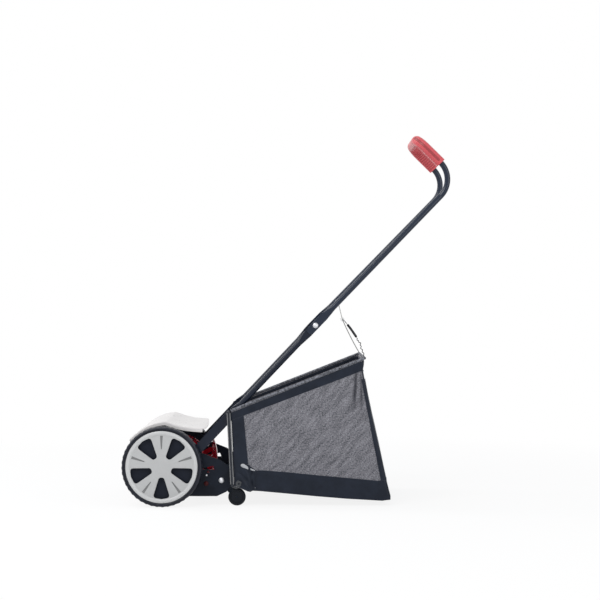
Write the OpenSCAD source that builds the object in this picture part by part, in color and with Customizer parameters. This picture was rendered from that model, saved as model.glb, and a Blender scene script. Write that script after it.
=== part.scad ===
// Push reel mower with a folding handle and a grass catcher, in millimetres.
// +Z up, the front of the mower towards -X, its left side towards -Y.
// Shapes are drawn round the wheel axle and for the left side, then moved and mirrored into place.

/* [Wheels] */
// Diameter of the drive wheels over the tread
wheel_d = 242; // [236:1:256]
// Width of a drive wheel
wheel_w = 45; // [42:1:52]
// Thickness of the tyre
tyre_t = 11; // [10:0.5:12]
// Depth of the tread grooves
tread_depth = 1.6; // [1:0.1:3]
// Number of tread grooves round a tyre
tread_count = 36; // [24:1:48]
// Diameter of the stub axles
axle_d = 12; // [10:0.5:14]
// Width of the raised ring round a hubcap
cap_ring_w = 11; // [8:0.5:13]
// Radius where the hubcap windows start
window_in = 31.5; // [29:0.5:36]
// Radius where the hubcap windows end
window_out = 92.5; // [80:0.5:93]
// Width of a hubcap window at its inner end
window_w_in = 15; // [10:1:20]
// Width of a hubcap window at its outer end
window_w_out = 52; // [36:1:56]

/* [Gears] */
// Tooth module of ring gear and pinion
gear_module = 3; // [2.9:0.05:3.05]
// Teeth of the pinion
pinion_teeth = 11; // [10:1:12]
// Wall of the ring gear and its room inside the wheel's rim
ring_wall = 7.7; // [6:0.1:9]
// Width of the gears
gear_w = 14; // [10:0.5:15]
// Play between the teeth
gear_play = 0.5; // [0.4:0.05:0.7]

/* [Reel] */
// Width of cut, the length of the reel
cut_width = 378; // [340:2:460]
// Diameter of the reel
reel_d = 154; // [148:1:156]
// Angle by which the reel lies below the wheel axle
reel_drop = 7; // [5:0.5:9]
// Thickness of a reel blade
blade_t = 3; // [2:0.25:4]
// Depth of a reel blade
blade_depth = 22; // [18:0.5:26]
// Twist of the blades over the width
blade_twist = 62; // [40:1:80]
// Diameter of the reel shaft between the plates
shaft_d = 15; // [13.5:0.5:15.5]
// Diameter of the shaft ends
shaft_end_d = 12; // [10:0.5:13]
// Gap between reel and bedknife
cut_gap = 0.5; // [0.3:0.05:1]

/* [Chassis] */
// Thickness of the side plates
plate_t = 3; // [2.5:0.25:4]
// Thickness of the cover sheet
cover_t = 1.5; // [1.25:0.25:2]
// Height of the cover's side lips
lip_h = 11; // [8:0.5:14]
// Diameter of the tie rods
tie_d = 16; // [13:0.5:18]
// Diameter of the tie rod and roller bolts
bolt_d = 6; // [5:0.5:7]
// Diameter of the domed bolt heads
dome_d = 16.5; // [13:0.5:18]
// Height of the domed bolt heads
dome_h = 4; // [2.5:0.25:4.5]

/* [Support rollers] */
// Diameter of the support rollers
roller_d = 53; // [48:1:58]
// Width of a support roller
roller_w = 13; // [10:0.5:13.5]
// Diameter of the roller axle
roller_axle_d = 8; // [7:0.5:10]
// Width of the roller brackets
bracket_w = 22; // [18:1:26]

/* [Handle] */
// Diameter of the handle tube
tube_d = 18; // [16:0.5:19]
// Wall of the handle tube
tube_wall = 1.5; // [1:0.25:2.5]
// Thickness of the flattened tube ends
strap_t = 4; // [3:0.25:4.5]
// Width of the flattened ends at the fold bolts
lap_w = 24.5; // [22:0.5:28]
// Length of the lower handle from pivot to fold bolt
lower_len = 576; // [540:4:620]
// Angle of the lower handle above the ground
lower_angle = 46.5; // [45:0.5:48]
// Length of the upper handle from fold bolt to the bend
upper_len = 555; // [500:5:600]
// Angle of the upper handle above the ground
upper_angle = 45.8; // [45:0.2:47]
// Radius of the bend below the grips
bend_r = 74; // [60:2:90]
// Turn of the bend below the grips
bend_turn = 89.6; // [86:0.4:95]
// Length from the bend to the crossbar
grip_len = 99; // [90:1:120]
// Half the width of the handle at the crossbar
top_half = 122; // [115:1:150]
// Radius of the corners beside the crossbar
corner_r = 38; // [30:1:55]
// Diameter of the grips
grip_d = 31; // [26:0.5:33]
// Distance from the fold bolts to the cross rod
rod_dist = 104; // [96:1:120]
// Diameter of the cross rod
rod_d = 9; // [7:0.5:10]

/* [Catcher] */
// Half the width of the catcher over its fabric
bag_half = 212; // [211:1:213]
// Thickness of the fabric panels
bag_t = 2.5; // [2:0.25:3]
// Diameter of the rim wire
rim_d = 7; // [6:0.5:7]
// Diameter of the mouth posts
post_d = 12; // [10:0.5:12]
// Diameter of the mouth bar
bar_d = 8; // [6:0.5:9]
// Diameter of the lift cord
cord_d = 3; // [2.5:0.25:3.5]

/* [Hidden] */
fit = 0.05;              // radial running clearance of a shaft in its hole
gap = 0.3;               // gap between bodies that move past each other
eps = 0.5;               // overlap that joins the solids of one piece
kink = 0.15;             // how far the ball in a kinked tube stands proud of it
tube_r = tube_d / 2;
axle_z = wheel_d / 2;
axle_r = axle_d / 2;
bolt_r = bolt_d / 2;
plate_in = cut_width / 2 + 4;
plate_out = plate_in + plate_t;
strap_in = plate_out + gap;
strap_mid = strap_in + strap_t / 2;
strap_out = strap_in + strap_t;
lap_in = strap_out + 0.2;
lap_mid = lap_in + strap_t / 2;
lap_out = lap_in + strap_t;
wheel_in = strap_out + 4.2;
wheel_out = wheel_in + wheel_w;
rim_r = axle_z - tyre_t;
drum_out = wheel_out - 3.5;

// Gears
pressure = 20;
ring_teeth = round(2 * (rim_r - ring_wall) / gear_module - 2.2);
gear_dist = gear_module * (ring_teeth - pinion_teeth) / 2;
pinion_pitch = gear_module * pinion_teeth / 2;
ring_pitch = gear_module * ring_teeth / 2;
tooth_out = 0.7 * gear_module;
tooth_in = 1.1 * gear_module;
ring_out = ring_pitch + tooth_in + 1.2;
gear_in = wheel_in + 2;
reel_x = gear_dist * cos(reel_drop);
reel_z = -gear_dist * sin(reel_drop);
reel_r = reel_d / 2;
reel_half = cut_width / 2;
blade_count = 5;
blade_lean = 12;         // degrees by which a blade's inner edge trails
blade_in = reel_r - blade_depth;
spider_ys = [-0.4, -0.13, 0.13, 0.4] * cut_width;
spider_t = 3;
pawl_pocket = 0.55 * pinion_pitch;

// Fixed points of the chassis, as [x, z] from the wheel axle
pivot = [66.5, 7];
stop_along = 45;         // distance of the stop stud up the strap
stud_r = 4;
front_tie = [-100, 28];
rear_tie = [177.5, -45.5];
index_r = 47.5;          // radius of the index pin round the rear tie rod
index_a = 160.7;
index_turn = 12;
knife_pivot = [131, -55.5];
roller_at = [225, roller_d / 2 - axle_z];
knife_top = reel_z - reel_r - cut_gap;
knife_t = 2.5;
knife_bar_t = 4;
knife_x = [reel_x + 2, reel_x + 34];
bar_x = [reel_x + 15, reel_x + 48];
cheek_in = reel_half + 1.2;
cheek_out = plate_in - gap;

// Handle
strap_w = 3.1416 * tube_r;
tube_from = 246;         // distance up the lower handle where the tube is round
flat_end = 75;           // length of flattened and swaged tube beside the fold bolt
lap_tail = 32;           // length of the upper lap below the fold bolt
joint = pivot + lower_len * [cos(lower_angle), sin(lower_angle)];
bend_from = joint + upper_len * [cos(upper_angle), sin(upper_angle)];
bend_mid = bend_from + bend_r * [-sin(upper_angle), cos(upper_angle)];
grip_angle = upper_angle + bend_turn;
bend_to = bend_mid + bend_r * [sin(grip_angle), -cos(grip_angle)];
crossbar = bend_to + grip_len * [cos(grip_angle), sin(grip_angle)];
taper = atan2(lap_mid - top_half, upper_len - flat_end);
cross_rod_at = joint + rod_dist * [cos(upper_angle), sin(upper_angle)];
grip_from = 2;           // distance from the bend to the side grips

// Cover, a curve through two Bezier arcs
cover_front = [[-118, 59], [-92, 93], [-45, 132], [8, 132]];
cover_rear = [[8, 132], [30, 126], [46, 113], [128, 111]];
cover_steps = 10;
cover_half = plate_out - 0.5;
cover_bow = 6;           // how far the middle of the rear edge stands past its corners
ear_xs = [-90, -20];
screw_r = 2;

// Catcher, as [x, z] from the wheel axle
rim_front = [206, 167.5];
rim_rear = [612, 326];
post_low = [211, -57];
post_top = [200, 162];
bar_at = [222, -54];
panel_in = bag_half - bag_t;
post_y = panel_in + post_d / 2 - 1.5;
side_edge = [[262, -81], [274, -73], [473, -90.4], [675, -104.4], [691, -99.5],
  [686, -73], [661, 32], [632, 157], [607, 301]];
rod_mid = [cross_rod_at[0], 0, cross_rod_at[1]];
lift_ring = [550, 0, 441];
lift_end = [610, 201, 330.9];
rod_foot = rod_mid + (rod_d / 2 + 0.03) * unit(lift_ring - rod_mid);
lift_route = concat([for (t = [0:0.25:0.8]) rod_foot + t * (lift_ring - rod_foot)],
  [lift_ring, lift_ring + [1, 2, -1.4]],
  [for (t = [1:6]) lift_ring + t / 7 * (lift_end - lift_ring) - [0, 0, 0.3 * t * (7 - t)]], [lift_end]);
spring_route = [[564, -25, 426.5], [571, -46, 417], [578, -67, 407], [585, -89, 396], [592, -110, 385]];
wire_route = [[592.1, -110.3, 384.8], [594, -130, 377], [601, -150, 369], [602, -170, 357],
  [607, -190, 344], [610.5, -204, 330.6]];

x_rear = bend_mid[0] + bend_r + tube_r;
x_mid = (x_rear - axle_z) / 2;

black = "#1b1d22";
sheet_pale = "#e1dedc";
reel_red = "#aa1423";
zinc = "#b9bcc0";
silver = "#bec3c6";
fabric = "#2a3038";
grip_red = "#cc4a52";
cord_pale = "#d8d8d4";

// ---- Functions ----

// A point on a cubic Bezier curve
function bezier(p, t) = pow(1 - t, 3) * p[0] + 3 * t * pow(1 - t, 2) * p[1]
  + 3 * t * t * (1 - t) * p[2] + pow(t, 3) * p[3];

function unit(v) = v / norm(v);

// The cover's curve, moved inwards by depth
function inset(p, t, depth) = let (d = unit(bezier(p, min(1, t + 0.01)) - bezier(p, max(0, t - 0.01))))
  bezier(p, t) + depth * [d[1], -d[0]];
function cover_curve(depth) = concat(
  [for (i = [0:cover_steps]) inset(cover_front, i / cover_steps, depth)],
  [for (i = [1:cover_steps]) inset(cover_rear, i / cover_steps, depth)]);
function backwards(list) = [for (i = [len(list) - 1:-1:0]) list[i]];
function polar(r, a) = [r * cos(a), r * sin(a)];

// Involute teeth: the angle between a tooth's middle and its flank at radius r
function inv_at(base, r) = let (a = acos(min(1, base / r))) tan(a) * 180 / PI - a;
function flank(pitch, half, r) = let (base = pitch * cos(pressure))
  half + inv_at(base, pitch) - inv_at(base, max(r, base));
function tooth_outline(count, pitch, half, low, high, steps) = [for (k = [0:count - 1])
  for (side = [-1, 1]) for (i = [0:steps])
    let (r = low + (high - low) * (side < 0 ? i : steps - i) / steps)
    polar(r, 360 * k / count + side * flank(pitch, half, r))];

// Corners of a polygon rounded by r, drawn anticlockwise
function rounded(pts, r, n = 6) = [for (i = [0:len(pts) - 1])
  let (p = pts[i], a = unit(pts[(i + len(pts) - 1) % len(pts)] - p), b = unit(pts[(i + 1) % len(pts)] - p),
    half = acos(max(-1, min(1, a * b))) / 2, mid = p + unit(a + b) * r / sin(half),
    from = mid + (p + a * r / tan(half) - mid), to = p + b * r / tan(half),
    a0 = atan2(from[1] - mid[1], from[0] - mid[0]), a1 = atan2(to[1] - mid[1], to[0] - mid[0]),
    turn = a1 < a0 ? a1 - a0 + 360 : a1 - a0)
  for (j = [0:n]) mid + polar(r, a0 + turn * j / n)];

// ---- Placing ----

module part_frame(colour) {
  color(colour) translate([-x_mid, 0, axle_z]) children();
}
module on_side(side) {
  if (side < 0) children();
  else mirror([0, 1, 0]) children();
}
module both_sides() {
  for (side = [-1, 1]) on_side(side) children();
}
// A slab from y0 outwards, from an outline in x and z
module slab(y0, t) {
  translate([0, -y0, 0]) rotate([90, 0, 0]) linear_extrude(height = t) children();
}
// A rod across the mower, from y0 to y1 outwards
module rod(at, r, y0, y1, facets = 48) {
  translate([at[0], -y0, at[1]]) rotate([90, 0, 0]) cylinder(r = r, h = y1 - y0, $fn = facets);
}
// A turned piece: its outline is radius against distance outwards
module turned(at) {
  translate([at[0], 0, at[1]]) rotate([90, 0, 0]) rotate_extrude($fn = 96) children();
}
module tube_ring(at, r_in, r_out, y0, y1) {
  turned(at) translate([r_in, y0]) square([r_out - r_in, y1 - y0]);
}
// A domed bolt head that stands out from y0
module dome(at, y0, r = dome_d / 2, h = dome_h) {
  ball = (r * r + h * h) / (2 * h);
  turned(at) intersection() {
    translate([0, y0 + h - ball]) circle(r = ball, $fn = 96);
    translate([0, y0]) square([r, h]);
  }
}
module hex(at, flats, y0, y1) {
  rod(at, flats / sqrt(3), y0, y1, 6);
}
// Tube swept along a route, with rings square to it
module swept(route, r, sides = 8) {
  last = len(route) - 1;
  rings = [for (i = [0:last])
    let (d = unit(route[min(last, i + 1)] - route[max(0, i - 1)]), a = unit(cross(d, [1, 0, 0])), b = cross(a, d))
    for (k = [0:sides - 1]) route[i] + r * (cos(360 * k / sides) * a + sin(360 * k / sides) * b)];
  walls = [for (i = [0:last - 1]) for (k = [0:sides - 1])
    [i * sides + k, i * sides + (k + 1) % sides, (i + 1) * sides + (k + 1) % sides, (i + 1) * sides + k]];
  ends = [[for (k = [sides - 1:-1:0]) k], [for (k = [0:sides - 1]) last * sides + k]];
  polyhedron(points = rings, faces = concat(walls, ends));
}

// ---- Chassis ----

module side_plate_outline() {
  front = [for (i = [1:cover_steps]) inset(cover_front, i / cover_steps, lip_h + gap)];
  rear = [for (i = [1:4]) inset(cover_rear, i / cover_steps, lip_h + gap)];
  polygon(concat(backwards(concat(front, rear)), [[-112, 22], [-106, 0], [-80, -45], [-20, -80], [50, -93.5],
    [164, -93.5], [193, -80], [205, -62], [205, -6], [176, 15], [117, 38]]));
}
function ear_share(x) = (x - cover_front[0][0]) / (cover_front[3][0] - cover_front[0][0]);
module cover_ears() {
  for (x = ear_xs) {
    tip = inset(cover_front, ear_share(x), cover_t + 2 * gap);
    foot = inset(cover_front, ear_share(x), lip_h + 8);
    side = 8 * [unit(tip - foot)[1], -unit(tip - foot)[0]];
    slab(plate_in - 2.5, 2.5) polygon([foot - side, foot + side, tip + side, tip - side]);
  }
}
module ear_screw_at(i) {
  at = inset(cover_front, ear_share(ear_xs[i]), lip_h / 2 + 1);
  translate([at[0], 0, at[1]]) children();
}
module side_plate(side) {
  part_frame(black) on_side(side) difference() {
    union() {
      slab(plate_in, plate_t) side_plate_outline();
      cover_ears();
    }
    rod([0, 0], axle_r + fit, plate_in - 1, plate_out + 1);
    rod([reel_x, reel_z], shaft_end_d / 2 + 3 + fit, plate_in - 1, plate_out + 1);
    rod(pivot, stud_r + fit, plate_in - 1, plate_out + 1);
    rod(stop_at(), stud_r + fit, plate_in - 1, plate_out + 1);
    rod(knife_pivot, stud_r + fit, plate_in - 1, plate_out + 1);
    for (at = [front_tie, rear_tie]) rod(at, bolt_r + fit, plate_in - 1, plate_out + 1);
    index_slot();
    slab(plate_in - 1, plate_t + 2) polygon(rounded([[125, -13], [157, -13], [152, -1], [119, -10]], 1.2));
    for (i = [0:1]) ear_screw_at(i) rod([0, 0], screw_r + fit, plate_in - 4, plate_in + 1);
  }
}
// Curved slot that the index pin travels in as the rollers are lowered
module index_slot() {
  pin = bolt_r + 0.4;
  translate([rear_tie[0], -plate_in + 1, rear_tie[1]]) rotate([90, 0, 0]) {
    rotate([0, 0, index_a - index_turn]) rotate_extrude(angle = index_turn, $fn = 96)
      translate([index_r - pin, 0]) square([2 * pin, plate_t + 2]);
    for (a = [index_a, index_a - index_turn]) translate(polar(index_r, a))
      cylinder(r = pin + kink, h = plate_t + 2, $fn = 32);
  }
}
function stop_at() = pivot + stop_along * [cos(lower_angle), sin(lower_angle)]
  + (strap_w / 2 + stud_r + gap) * [sin(lower_angle), -cos(lower_angle)];

module deck_cover() {
  outer = cover_curve(0);
  bow_r = (cover_half * cover_half + cover_bow * cover_bow) / (2 * cover_bow);
  part_frame(sheet_pale) difference() {
    intersection() {
      union() {
        slab(-cover_half, 2 * cover_half) polygon(concat(backwards(outer), cover_curve(cover_t)));
        both_sides() slab(cover_half - cover_t, cover_t)
          polygon(concat(backwards(outer), cover_curve(lip_h)));
      }
      translate([cover_rear[3][0] + 3 - bow_r, 0, 0]) cylinder(r = bow_r, h = axle_z + 100, $fn = 256);
    }
    both_sides() for (i = [0:1]) ear_screw_at(i) rod([0, 0], 3 + fit, cover_half - 4, cover_half + 1);
  }
}
module cover_screws() {
  part_frame(zinc) both_sides() for (i = [0:1]) ear_screw_at(i) {
    rod([0, 0], screw_r, plate_in - 2.5, cover_half - 1);
    rod([0, 0], 3, cover_half - cover_t, cover_half);
  }
}
module tie_rod(at) {
  part_frame(black) difference() {
    rod(at, tie_d / 2, -tie_half(at), tie_half(at));
    both_sides() rod(at, bolt_r + fit, tie_half(at) - 22, tie_half(at) + 1);
  }
}
function tie_half(at) = at == rear_tie ? cheek_in - 0.1 : plate_in;
module front_tie_rod() {
  tie_rod(front_tie);
}
module rear_tie_rod() {
  tie_rod(rear_tie);
}
module tie_rod_bolts() {
  part_frame(zinc) both_sides() {
    rod(front_tie, bolt_r, plate_in - 20, plate_out + 1);
    dome(front_tie, plate_out);
  }
}
module roller_pivot_bolts() {
  part_frame(zinc) both_sides() {
    rod(rear_tie, bolt_r, cheek_in - 20, plate_out + 1);
    dome(rear_tie, plate_out);
  }
}
module stub_axles() {
  part_frame(zinc) both_sides() {
    rod([0, 0], axle_r, plate_in - 1, drum_out + 1);
    rod([0, 0], axle_r + 4, plate_in - 2, plate_in);
    rod([0, 0], axle_r + 8, plate_out, wheel_in - gap);
  }
}
module wheel_nuts() {
  part_frame(zinc) both_sides() difference() {
    union() {
      rod([0, 0], axle_r + 6, bush_out() + gap, bush_out() + 2);
      hex([0, 0], 17, bush_out() + 1.5, drum_out - 1);
    }
    rod([0, 0], axle_r + fit, wheel_in, wheel_out);
  }
}
function bush_out() = drum_out - 8;
module reel_bearings() {
  part_frame(silver) both_sides() difference() {
    union() {
      rod([reel_x, reel_z], shaft_end_d / 2 + 3, plate_in - 1, plate_out + 0.1);
      rod([reel_x, reel_z], shaft_end_d / 2 + 6, plate_in - 2.5, plate_in);
    }
    rod([reel_x, reel_z], shaft_end_d / 2 + fit, plate_in - 5, plate_out + 2);
  }
}
module bedknife_pivots() {
  part_frame(reel_red) both_sides() {
    rod(knife_pivot, stud_r, cheek_in, plate_out + 1);
    dome(knife_pivot, plate_out, 7.5, 4);
  }
}
module handle_pivot_bolts() {
  part_frame(zinc) both_sides() {
    rod(pivot, stud_r, plate_in - 3.5, strap_out + 1);
    dome(pivot, strap_out, dome_d / 2, 3.5);
  }
}
module handle_pivot_nuts() {
  part_frame(zinc) both_sides() difference() {
    hex(pivot, 13, plate_in - 3.6, plate_in);
    rod(pivot, stud_r + fit, plate_in - 5, plate_in + 1);
  }
}
module handle_stop_studs() {
  part_frame(zinc) both_sides() {
    rod(stop_at(), stud_r, plate_in - 1, strap_out);
    rod(stop_at(), stud_r + 3, plate_in - 3, plate_in);
  }
}

// ---- Bedknife ----

module bedknife_bar() {
  bar_top = knife_top - knife_t;
  part_frame(black) difference() {
    union() {
      translate([bar_x[0], -cheek_out, bar_top - knife_bar_t])
        cube([bar_x[1] - bar_x[0], 2 * cheek_out, knife_bar_t]);
      both_sides() {
        slab(cheek_in, cheek_out - cheek_in) polygon([[bar_x[0], bar_top - knife_bar_t],
          [bar_x[1], bar_top - knife_bar_t], knife_pivot + [9, 0], knife_pivot + [-9, 0],
          [bar_x[0], bar_top + 6]]);
        rod(knife_pivot, 9, cheek_in, cheek_out);
      }
    }
    both_sides() rod(knife_pivot, stud_r + fit, cheek_in - 1, cheek_out + 1);
    for (x = knife_screw_xs()) for (y = knife_screw_ys())
      translate([x, y, bar_top - 10]) cylinder(r = 2.5 + fit, h = 12, $fn = 24);
  }
}
function knife_screw_xs() = [(bar_x[0] + knife_x[1]) / 2];
function knife_screw_ys() = [-0.4, -0.2, 0, 0.2, 0.4] * cut_width;
module bedknife_blade() {
  part_frame(zinc) difference() {
    translate([knife_x[0], -reel_half, knife_top - knife_t])
      cube([knife_x[1] - knife_x[0], cut_width, knife_t]);
    for (x = knife_screw_xs()) for (y = knife_screw_ys())
      translate([x, y, knife_top - 10]) cylinder(r = 2.5 + fit, h = 20, $fn = 24);
  }
}
module bedknife_screws() {
  part_frame(zinc) for (x = knife_screw_xs()) for (y = knife_screw_ys()) translate([x, y, knife_top]) {
    translate([0, 0, -knife_t - knife_bar_t]) cylinder(r = 2.5, h = knife_t + knife_bar_t + 0.5, $fn = 24);
    cylinder(r = 5, h = 1.6, $fn = 32);
  }
}

// ---- Reel and drive ----

module reel_shaft() {
  part_frame(black) difference() {
    union() {
      rod([reel_x, reel_z], shaft_d / 2, -reel_half, reel_half);
      rod([reel_x, reel_z], shaft_end_d / 2, -shaft_tip(), shaft_tip());
    }
    both_sides() translate([reel_x - 10, -gear_in - 3.7, reel_z - 2.05]) cube([20, 3.6, 4.1]);
  }
}
function shaft_tip() = gear_in + gear_w + 2.5;
module reel_pawls() {
  half = sqrt(pawl_pocket * pawl_pocket - 4) - 0.3;
  part_frame(zinc) both_sides() translate([reel_x - half, -gear_in - 3.6, reel_z - 2]) cube([2 * half, 3.4, 4]);
}
module reel_clips() {
  part_frame(zinc) both_sides()
    tube_ring([reel_x, reel_z], shaft_end_d / 2 + fit, shaft_end_d / 2 + 3, gear_in + gear_w + gap, shaft_tip() - 0.5);
}
function blade_angle(y) = 90 + blade_twist * (y / cut_width);
module reel_spiders() {
  part_frame(reel_red) for (y = spider_ys) slab(-y - spider_t / 2, spider_t) translate([reel_x, reel_z])
    difference() {
      union() {
        circle(r = 0.36 * reel_r, $fn = 64);
        for (k = [0:blade_count - 1]) rotate(blade_angle(y) + 360 * k / blade_count - blade_lean)
          translate([0, -7]) square([blade_in - 0.32 * blade_t - gap, 14]);
      }
      circle(r = shaft_d / 2 + fit, $fn = 64);
    }
}
// The blades turn about the shaft from one side to the other
module reel_blades() {
  inner = polar(blade_in, -blade_lean);
  outer = polar(reel_r - 0.4, 0);
  across = unit([outer[1] - inner[1], inner[0] - outer[0]]) * blade_t / 2;
  part_frame(reel_red) translate([reel_x, reel_half, reel_z]) rotate([90, 0, 0])
    for (k = [0:blade_count - 1]) rotate([0, 0, blade_angle(reel_half) + 360 * k / blade_count])
      linear_extrude(height = cut_width, twist = blade_twist, slices = 18, segments = 4)
        polygon([inner + across, outer + across - [0.8, 0], outer - across - [0.4, 0], inner - across]);
}
module drive_pinion(side) {
  half = 90 / pinion_teeth - gear_play / 2 / pinion_pitch * 180 / PI;
  part_frame(zinc) on_side(side) difference() {
    slab(gear_in, gear_w) translate([reel_x, reel_z]) rotate(-reel_drop)
      polygon(tooth_outline(pinion_teeth, pinion_pitch, half, pinion_pitch - tooth_in, pinion_pitch + tooth_out, 4));
    rod([reel_x, reel_z], shaft_end_d / 2 + fit, gear_in - 1, gear_in + gear_w + 1);
    rod([reel_x, reel_z], pawl_pocket, gear_in - 1, gear_in + 4);
  }
}

// ---- Wheels ----

module wheel_rim(side) {
  half = 90 / ring_teeth + gear_play / 2 / ring_pitch * 180 / PI;
  part_frame(black) on_side(side) {
    turned([0, 0]) union() {
      translate([ring_out - eps, wheel_in]) square([rim_r - ring_out + eps, drum_out - wheel_in]);
      translate([axle_r + 3, drum_out - 14]) square([rim_r - axle_r - 3, 3]);
      translate([axle_r + 3, wheel_in]) square([7, drum_out - 8.5 - wheel_in]);
    }
    difference() {
      rod([0, 0], ring_out, gear_in, gear_in + gear_w, 96);
      slab(gear_in - 1, gear_w + 2) rotate(-reel_drop)
        polygon(tooth_outline(ring_teeth, ring_pitch, half, ring_pitch - tooth_out, ring_pitch + tooth_in, 2));
    }
  }
}
module wheel_bush(side) {
  part_frame(silver) on_side(side) tube_ring([0, 0], axle_r + fit, axle_r + 3 - 0.02, wheel_in, bush_out());
}
module tyre(side) {
  bevel = 5;
  part_frame(black) on_side(side) difference() {
    turned([0, 0]) polygon([[rim_r + 0.02, wheel_in], [axle_z - bevel, wheel_in], [axle_z, wheel_in + bevel],
      [axle_z, wheel_out - bevel], [axle_z - bevel, wheel_out], [rim_r + 0.02, wheel_out]]);
    for (k = [0:tread_count - 1]) rotate([0, 360 * (k + 0.5) / tread_count, 0])
      translate([-3, -wheel_out - 1, axle_z - tread_depth]) cube([6, wheel_w + 2, tread_depth + 5]);
  }
}
module hubcap(side) {
  ring_mid = rim_r - 1.5 - cap_ring_w / 2;
  part_frame(silver) on_side(side) difference() {
    union() {
      turned([0, 0]) polygon([[0, drum_out + 1.5], [axle_r + 8, drum_out + 1.5], [axle_r + 12, drum_out],
        [rim_r - 1.5, drum_out], [rim_r - 1.5, drum_out + 1.6], [ring_mid + 3, drum_out + 3.5],
        [ring_mid - 3, drum_out + 3.5], [ring_mid - cap_ring_w / 2, drum_out + 2],
        [axle_r + 16, drum_out + 2], [axle_r + 10, drum_out + 3], [0, drum_out + 3.5]]);
    }
    for (k = [0:4]) slab(drum_out - 1, 6) rotate(270 + 72 * k) polygon(rounded([[window_in, -window_w_in / 2],
      [window_out, -window_w_out / 2], [window_out + 2.5, 0], [window_out, window_w_out / 2],
      [window_in, window_w_in / 2]], 5));
    for (k = [0:4]) slab(drum_out + 1, 3) rotate(90 + 72 * k)
      polygon([[55, -4], [window_out + 2, -1.5], [window_out + 2, 1.5], [55, 4]]);
  }
}

// ---- Support rollers ----

module roller_bracket(side) {
  front = rear_tie + polar(index_r, index_a);
  part_frame(black) on_side(side) difference() {
    slab(cheek_in, cheek_out - cheek_in) union() {
      translate(rear_tie) circle(d = bracket_w, $fn = 48);
      translate(roller_at) circle(d = bracket_w - 2, $fn = 48);
      translate(front) circle(d = bracket_w - 6, $fn = 48);
      arm(rear_tie, roller_at, bracket_w - 2);
      arm(rear_tie, front, bracket_w - 6);
    }
    rod(rear_tie, bolt_r + fit, cheek_in - 1, cheek_out + 1);
    rod(roller_at, roller_axle_d / 2 + fit, cheek_in - 1, cheek_out + 1);
    rod(front, bolt_r - 0.5 + fit, cheek_in - 1, cheek_out + 1);
  }
}
// A straight bar of width w between two points
module arm(from, to, w) {
  translate(from) rotate(atan2(to[1] - from[1], to[0] - from[0])) translate([0, -w / 2])
    square([norm(to - from), w]);
}
module roller_axle() {
  part_frame(zinc) rod(roller_at, roller_axle_d / 2, -roller_out() - 1.5, roller_out() + 1.5);
}
function roller_out() = plate_in + gap + roller_w;
module roller_index_pins() {
  part_frame(zinc) both_sides()
    rod(rear_tie + polar(index_r, index_a), bolt_r - 0.5, cheek_in, plate_out + 3);
}
module support_roller(side) {
  edge = 4;
  part_frame(black) on_side(side) turned(roller_at) difference() {
    polygon([[roller_axle_d / 2 + fit, plate_in + gap], [roller_d / 2 - edge, plate_in + gap],
      [roller_d / 2, plate_in + gap + edge], [roller_d / 2, roller_out() - edge],
      [roller_d / 2 - edge, roller_out()], [roller_axle_d / 2 + fit, roller_out()]]);
    translate([roller_d / 2 - 10, roller_out() - 2]) square([4, 4]);
  }
}

// ---- Handle ----

// A piece along a line from at, which leans up by angle and in by lean
module along(at, y, angle, lean = 0) {
  translate([at[0], -y, at[1]]) rotate([0, -angle, 0]) rotate([0, 0, lean]) children();
}
// Tube or rod along local x
module run(r, x0, x1) {
  translate([x0, 0, 0]) rotate([0, 90, 0]) cylinder(r = r, h = x1 - x0, $fn = 64);
}
// The swaged stretch between a flat end at x0 and the round tube at x1
module swage(x0, x1, w) {
  toward = x1 > x0 ? 1 : -1;
  hull() {
    translate([x0 - (toward < 0 ? 0 : 1), -strap_t / 2, -w / 2]) cube([1, strap_t, w]);
    translate([x1, 0, 0]) rotate([0, toward * 90, 0]) cylinder(r = tube_r, h = 1, $fn = 32);
  }
}
// A flat strap of width w along local x, from x0 to x1
module flat_run(x0, x1, w) {
  translate([x0, -strap_t / 2, -w / 2]) cube([x1 - x0, strap_t, w]);
}
module flat_disc(x, w) {
  translate([x, strap_t / 2, 0]) rotate([90, 0, 0]) cylinder(r = w / 2, h = strap_t, $fn = 48);
}
module cross_hole(x, r) {
  translate([x, 20, 0]) rotate([90, 0, 0]) cylinder(r = r, h = 40, $fn = 32);
}
module lower_handle(side) {
  part_frame(black) on_side(side) along(pivot, strap_mid, lower_angle) difference() {
    union() {
      flat_disc(0, strap_w);
      flat_run(0, tube_from - 28, strap_w);
      swage(tube_from - 28, tube_from, strap_w);
      run(tube_r, tube_from, lower_len - flat_end);
      swage(lower_len - lap_tail - 1, lower_len - flat_end, lap_w);
      flat_run(lower_len - lap_tail - 1, lower_len, lap_w);
      flat_disc(lower_len, lap_w);
    }
    cross_hole(0, stud_r + fit);
    cross_hole(lower_len, bolt_r + fit);
    run(tube_r - tube_wall, tube_from + 1, lower_len - flat_end - 1);
    translate([tube_from + 20, 0, -tube_r - 1]) cylinder(r = 2, h = tube_r, $fn = 24);
  }
}
module fold_bolts() {
  part_frame(zinc) both_sides() {
    rod(joint, bolt_r, strap_in - 8, lap_out + 1);
    dome(joint, lap_out);
  }
}
module fold_nuts() {
  part_frame(zinc) both_sides() difference() {
    hex(joint, 10, strap_in - 5.5, strap_in);
    rod(joint, bolt_r + fit, strap_in - 9, strap_in + 1);
  }
}
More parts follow.
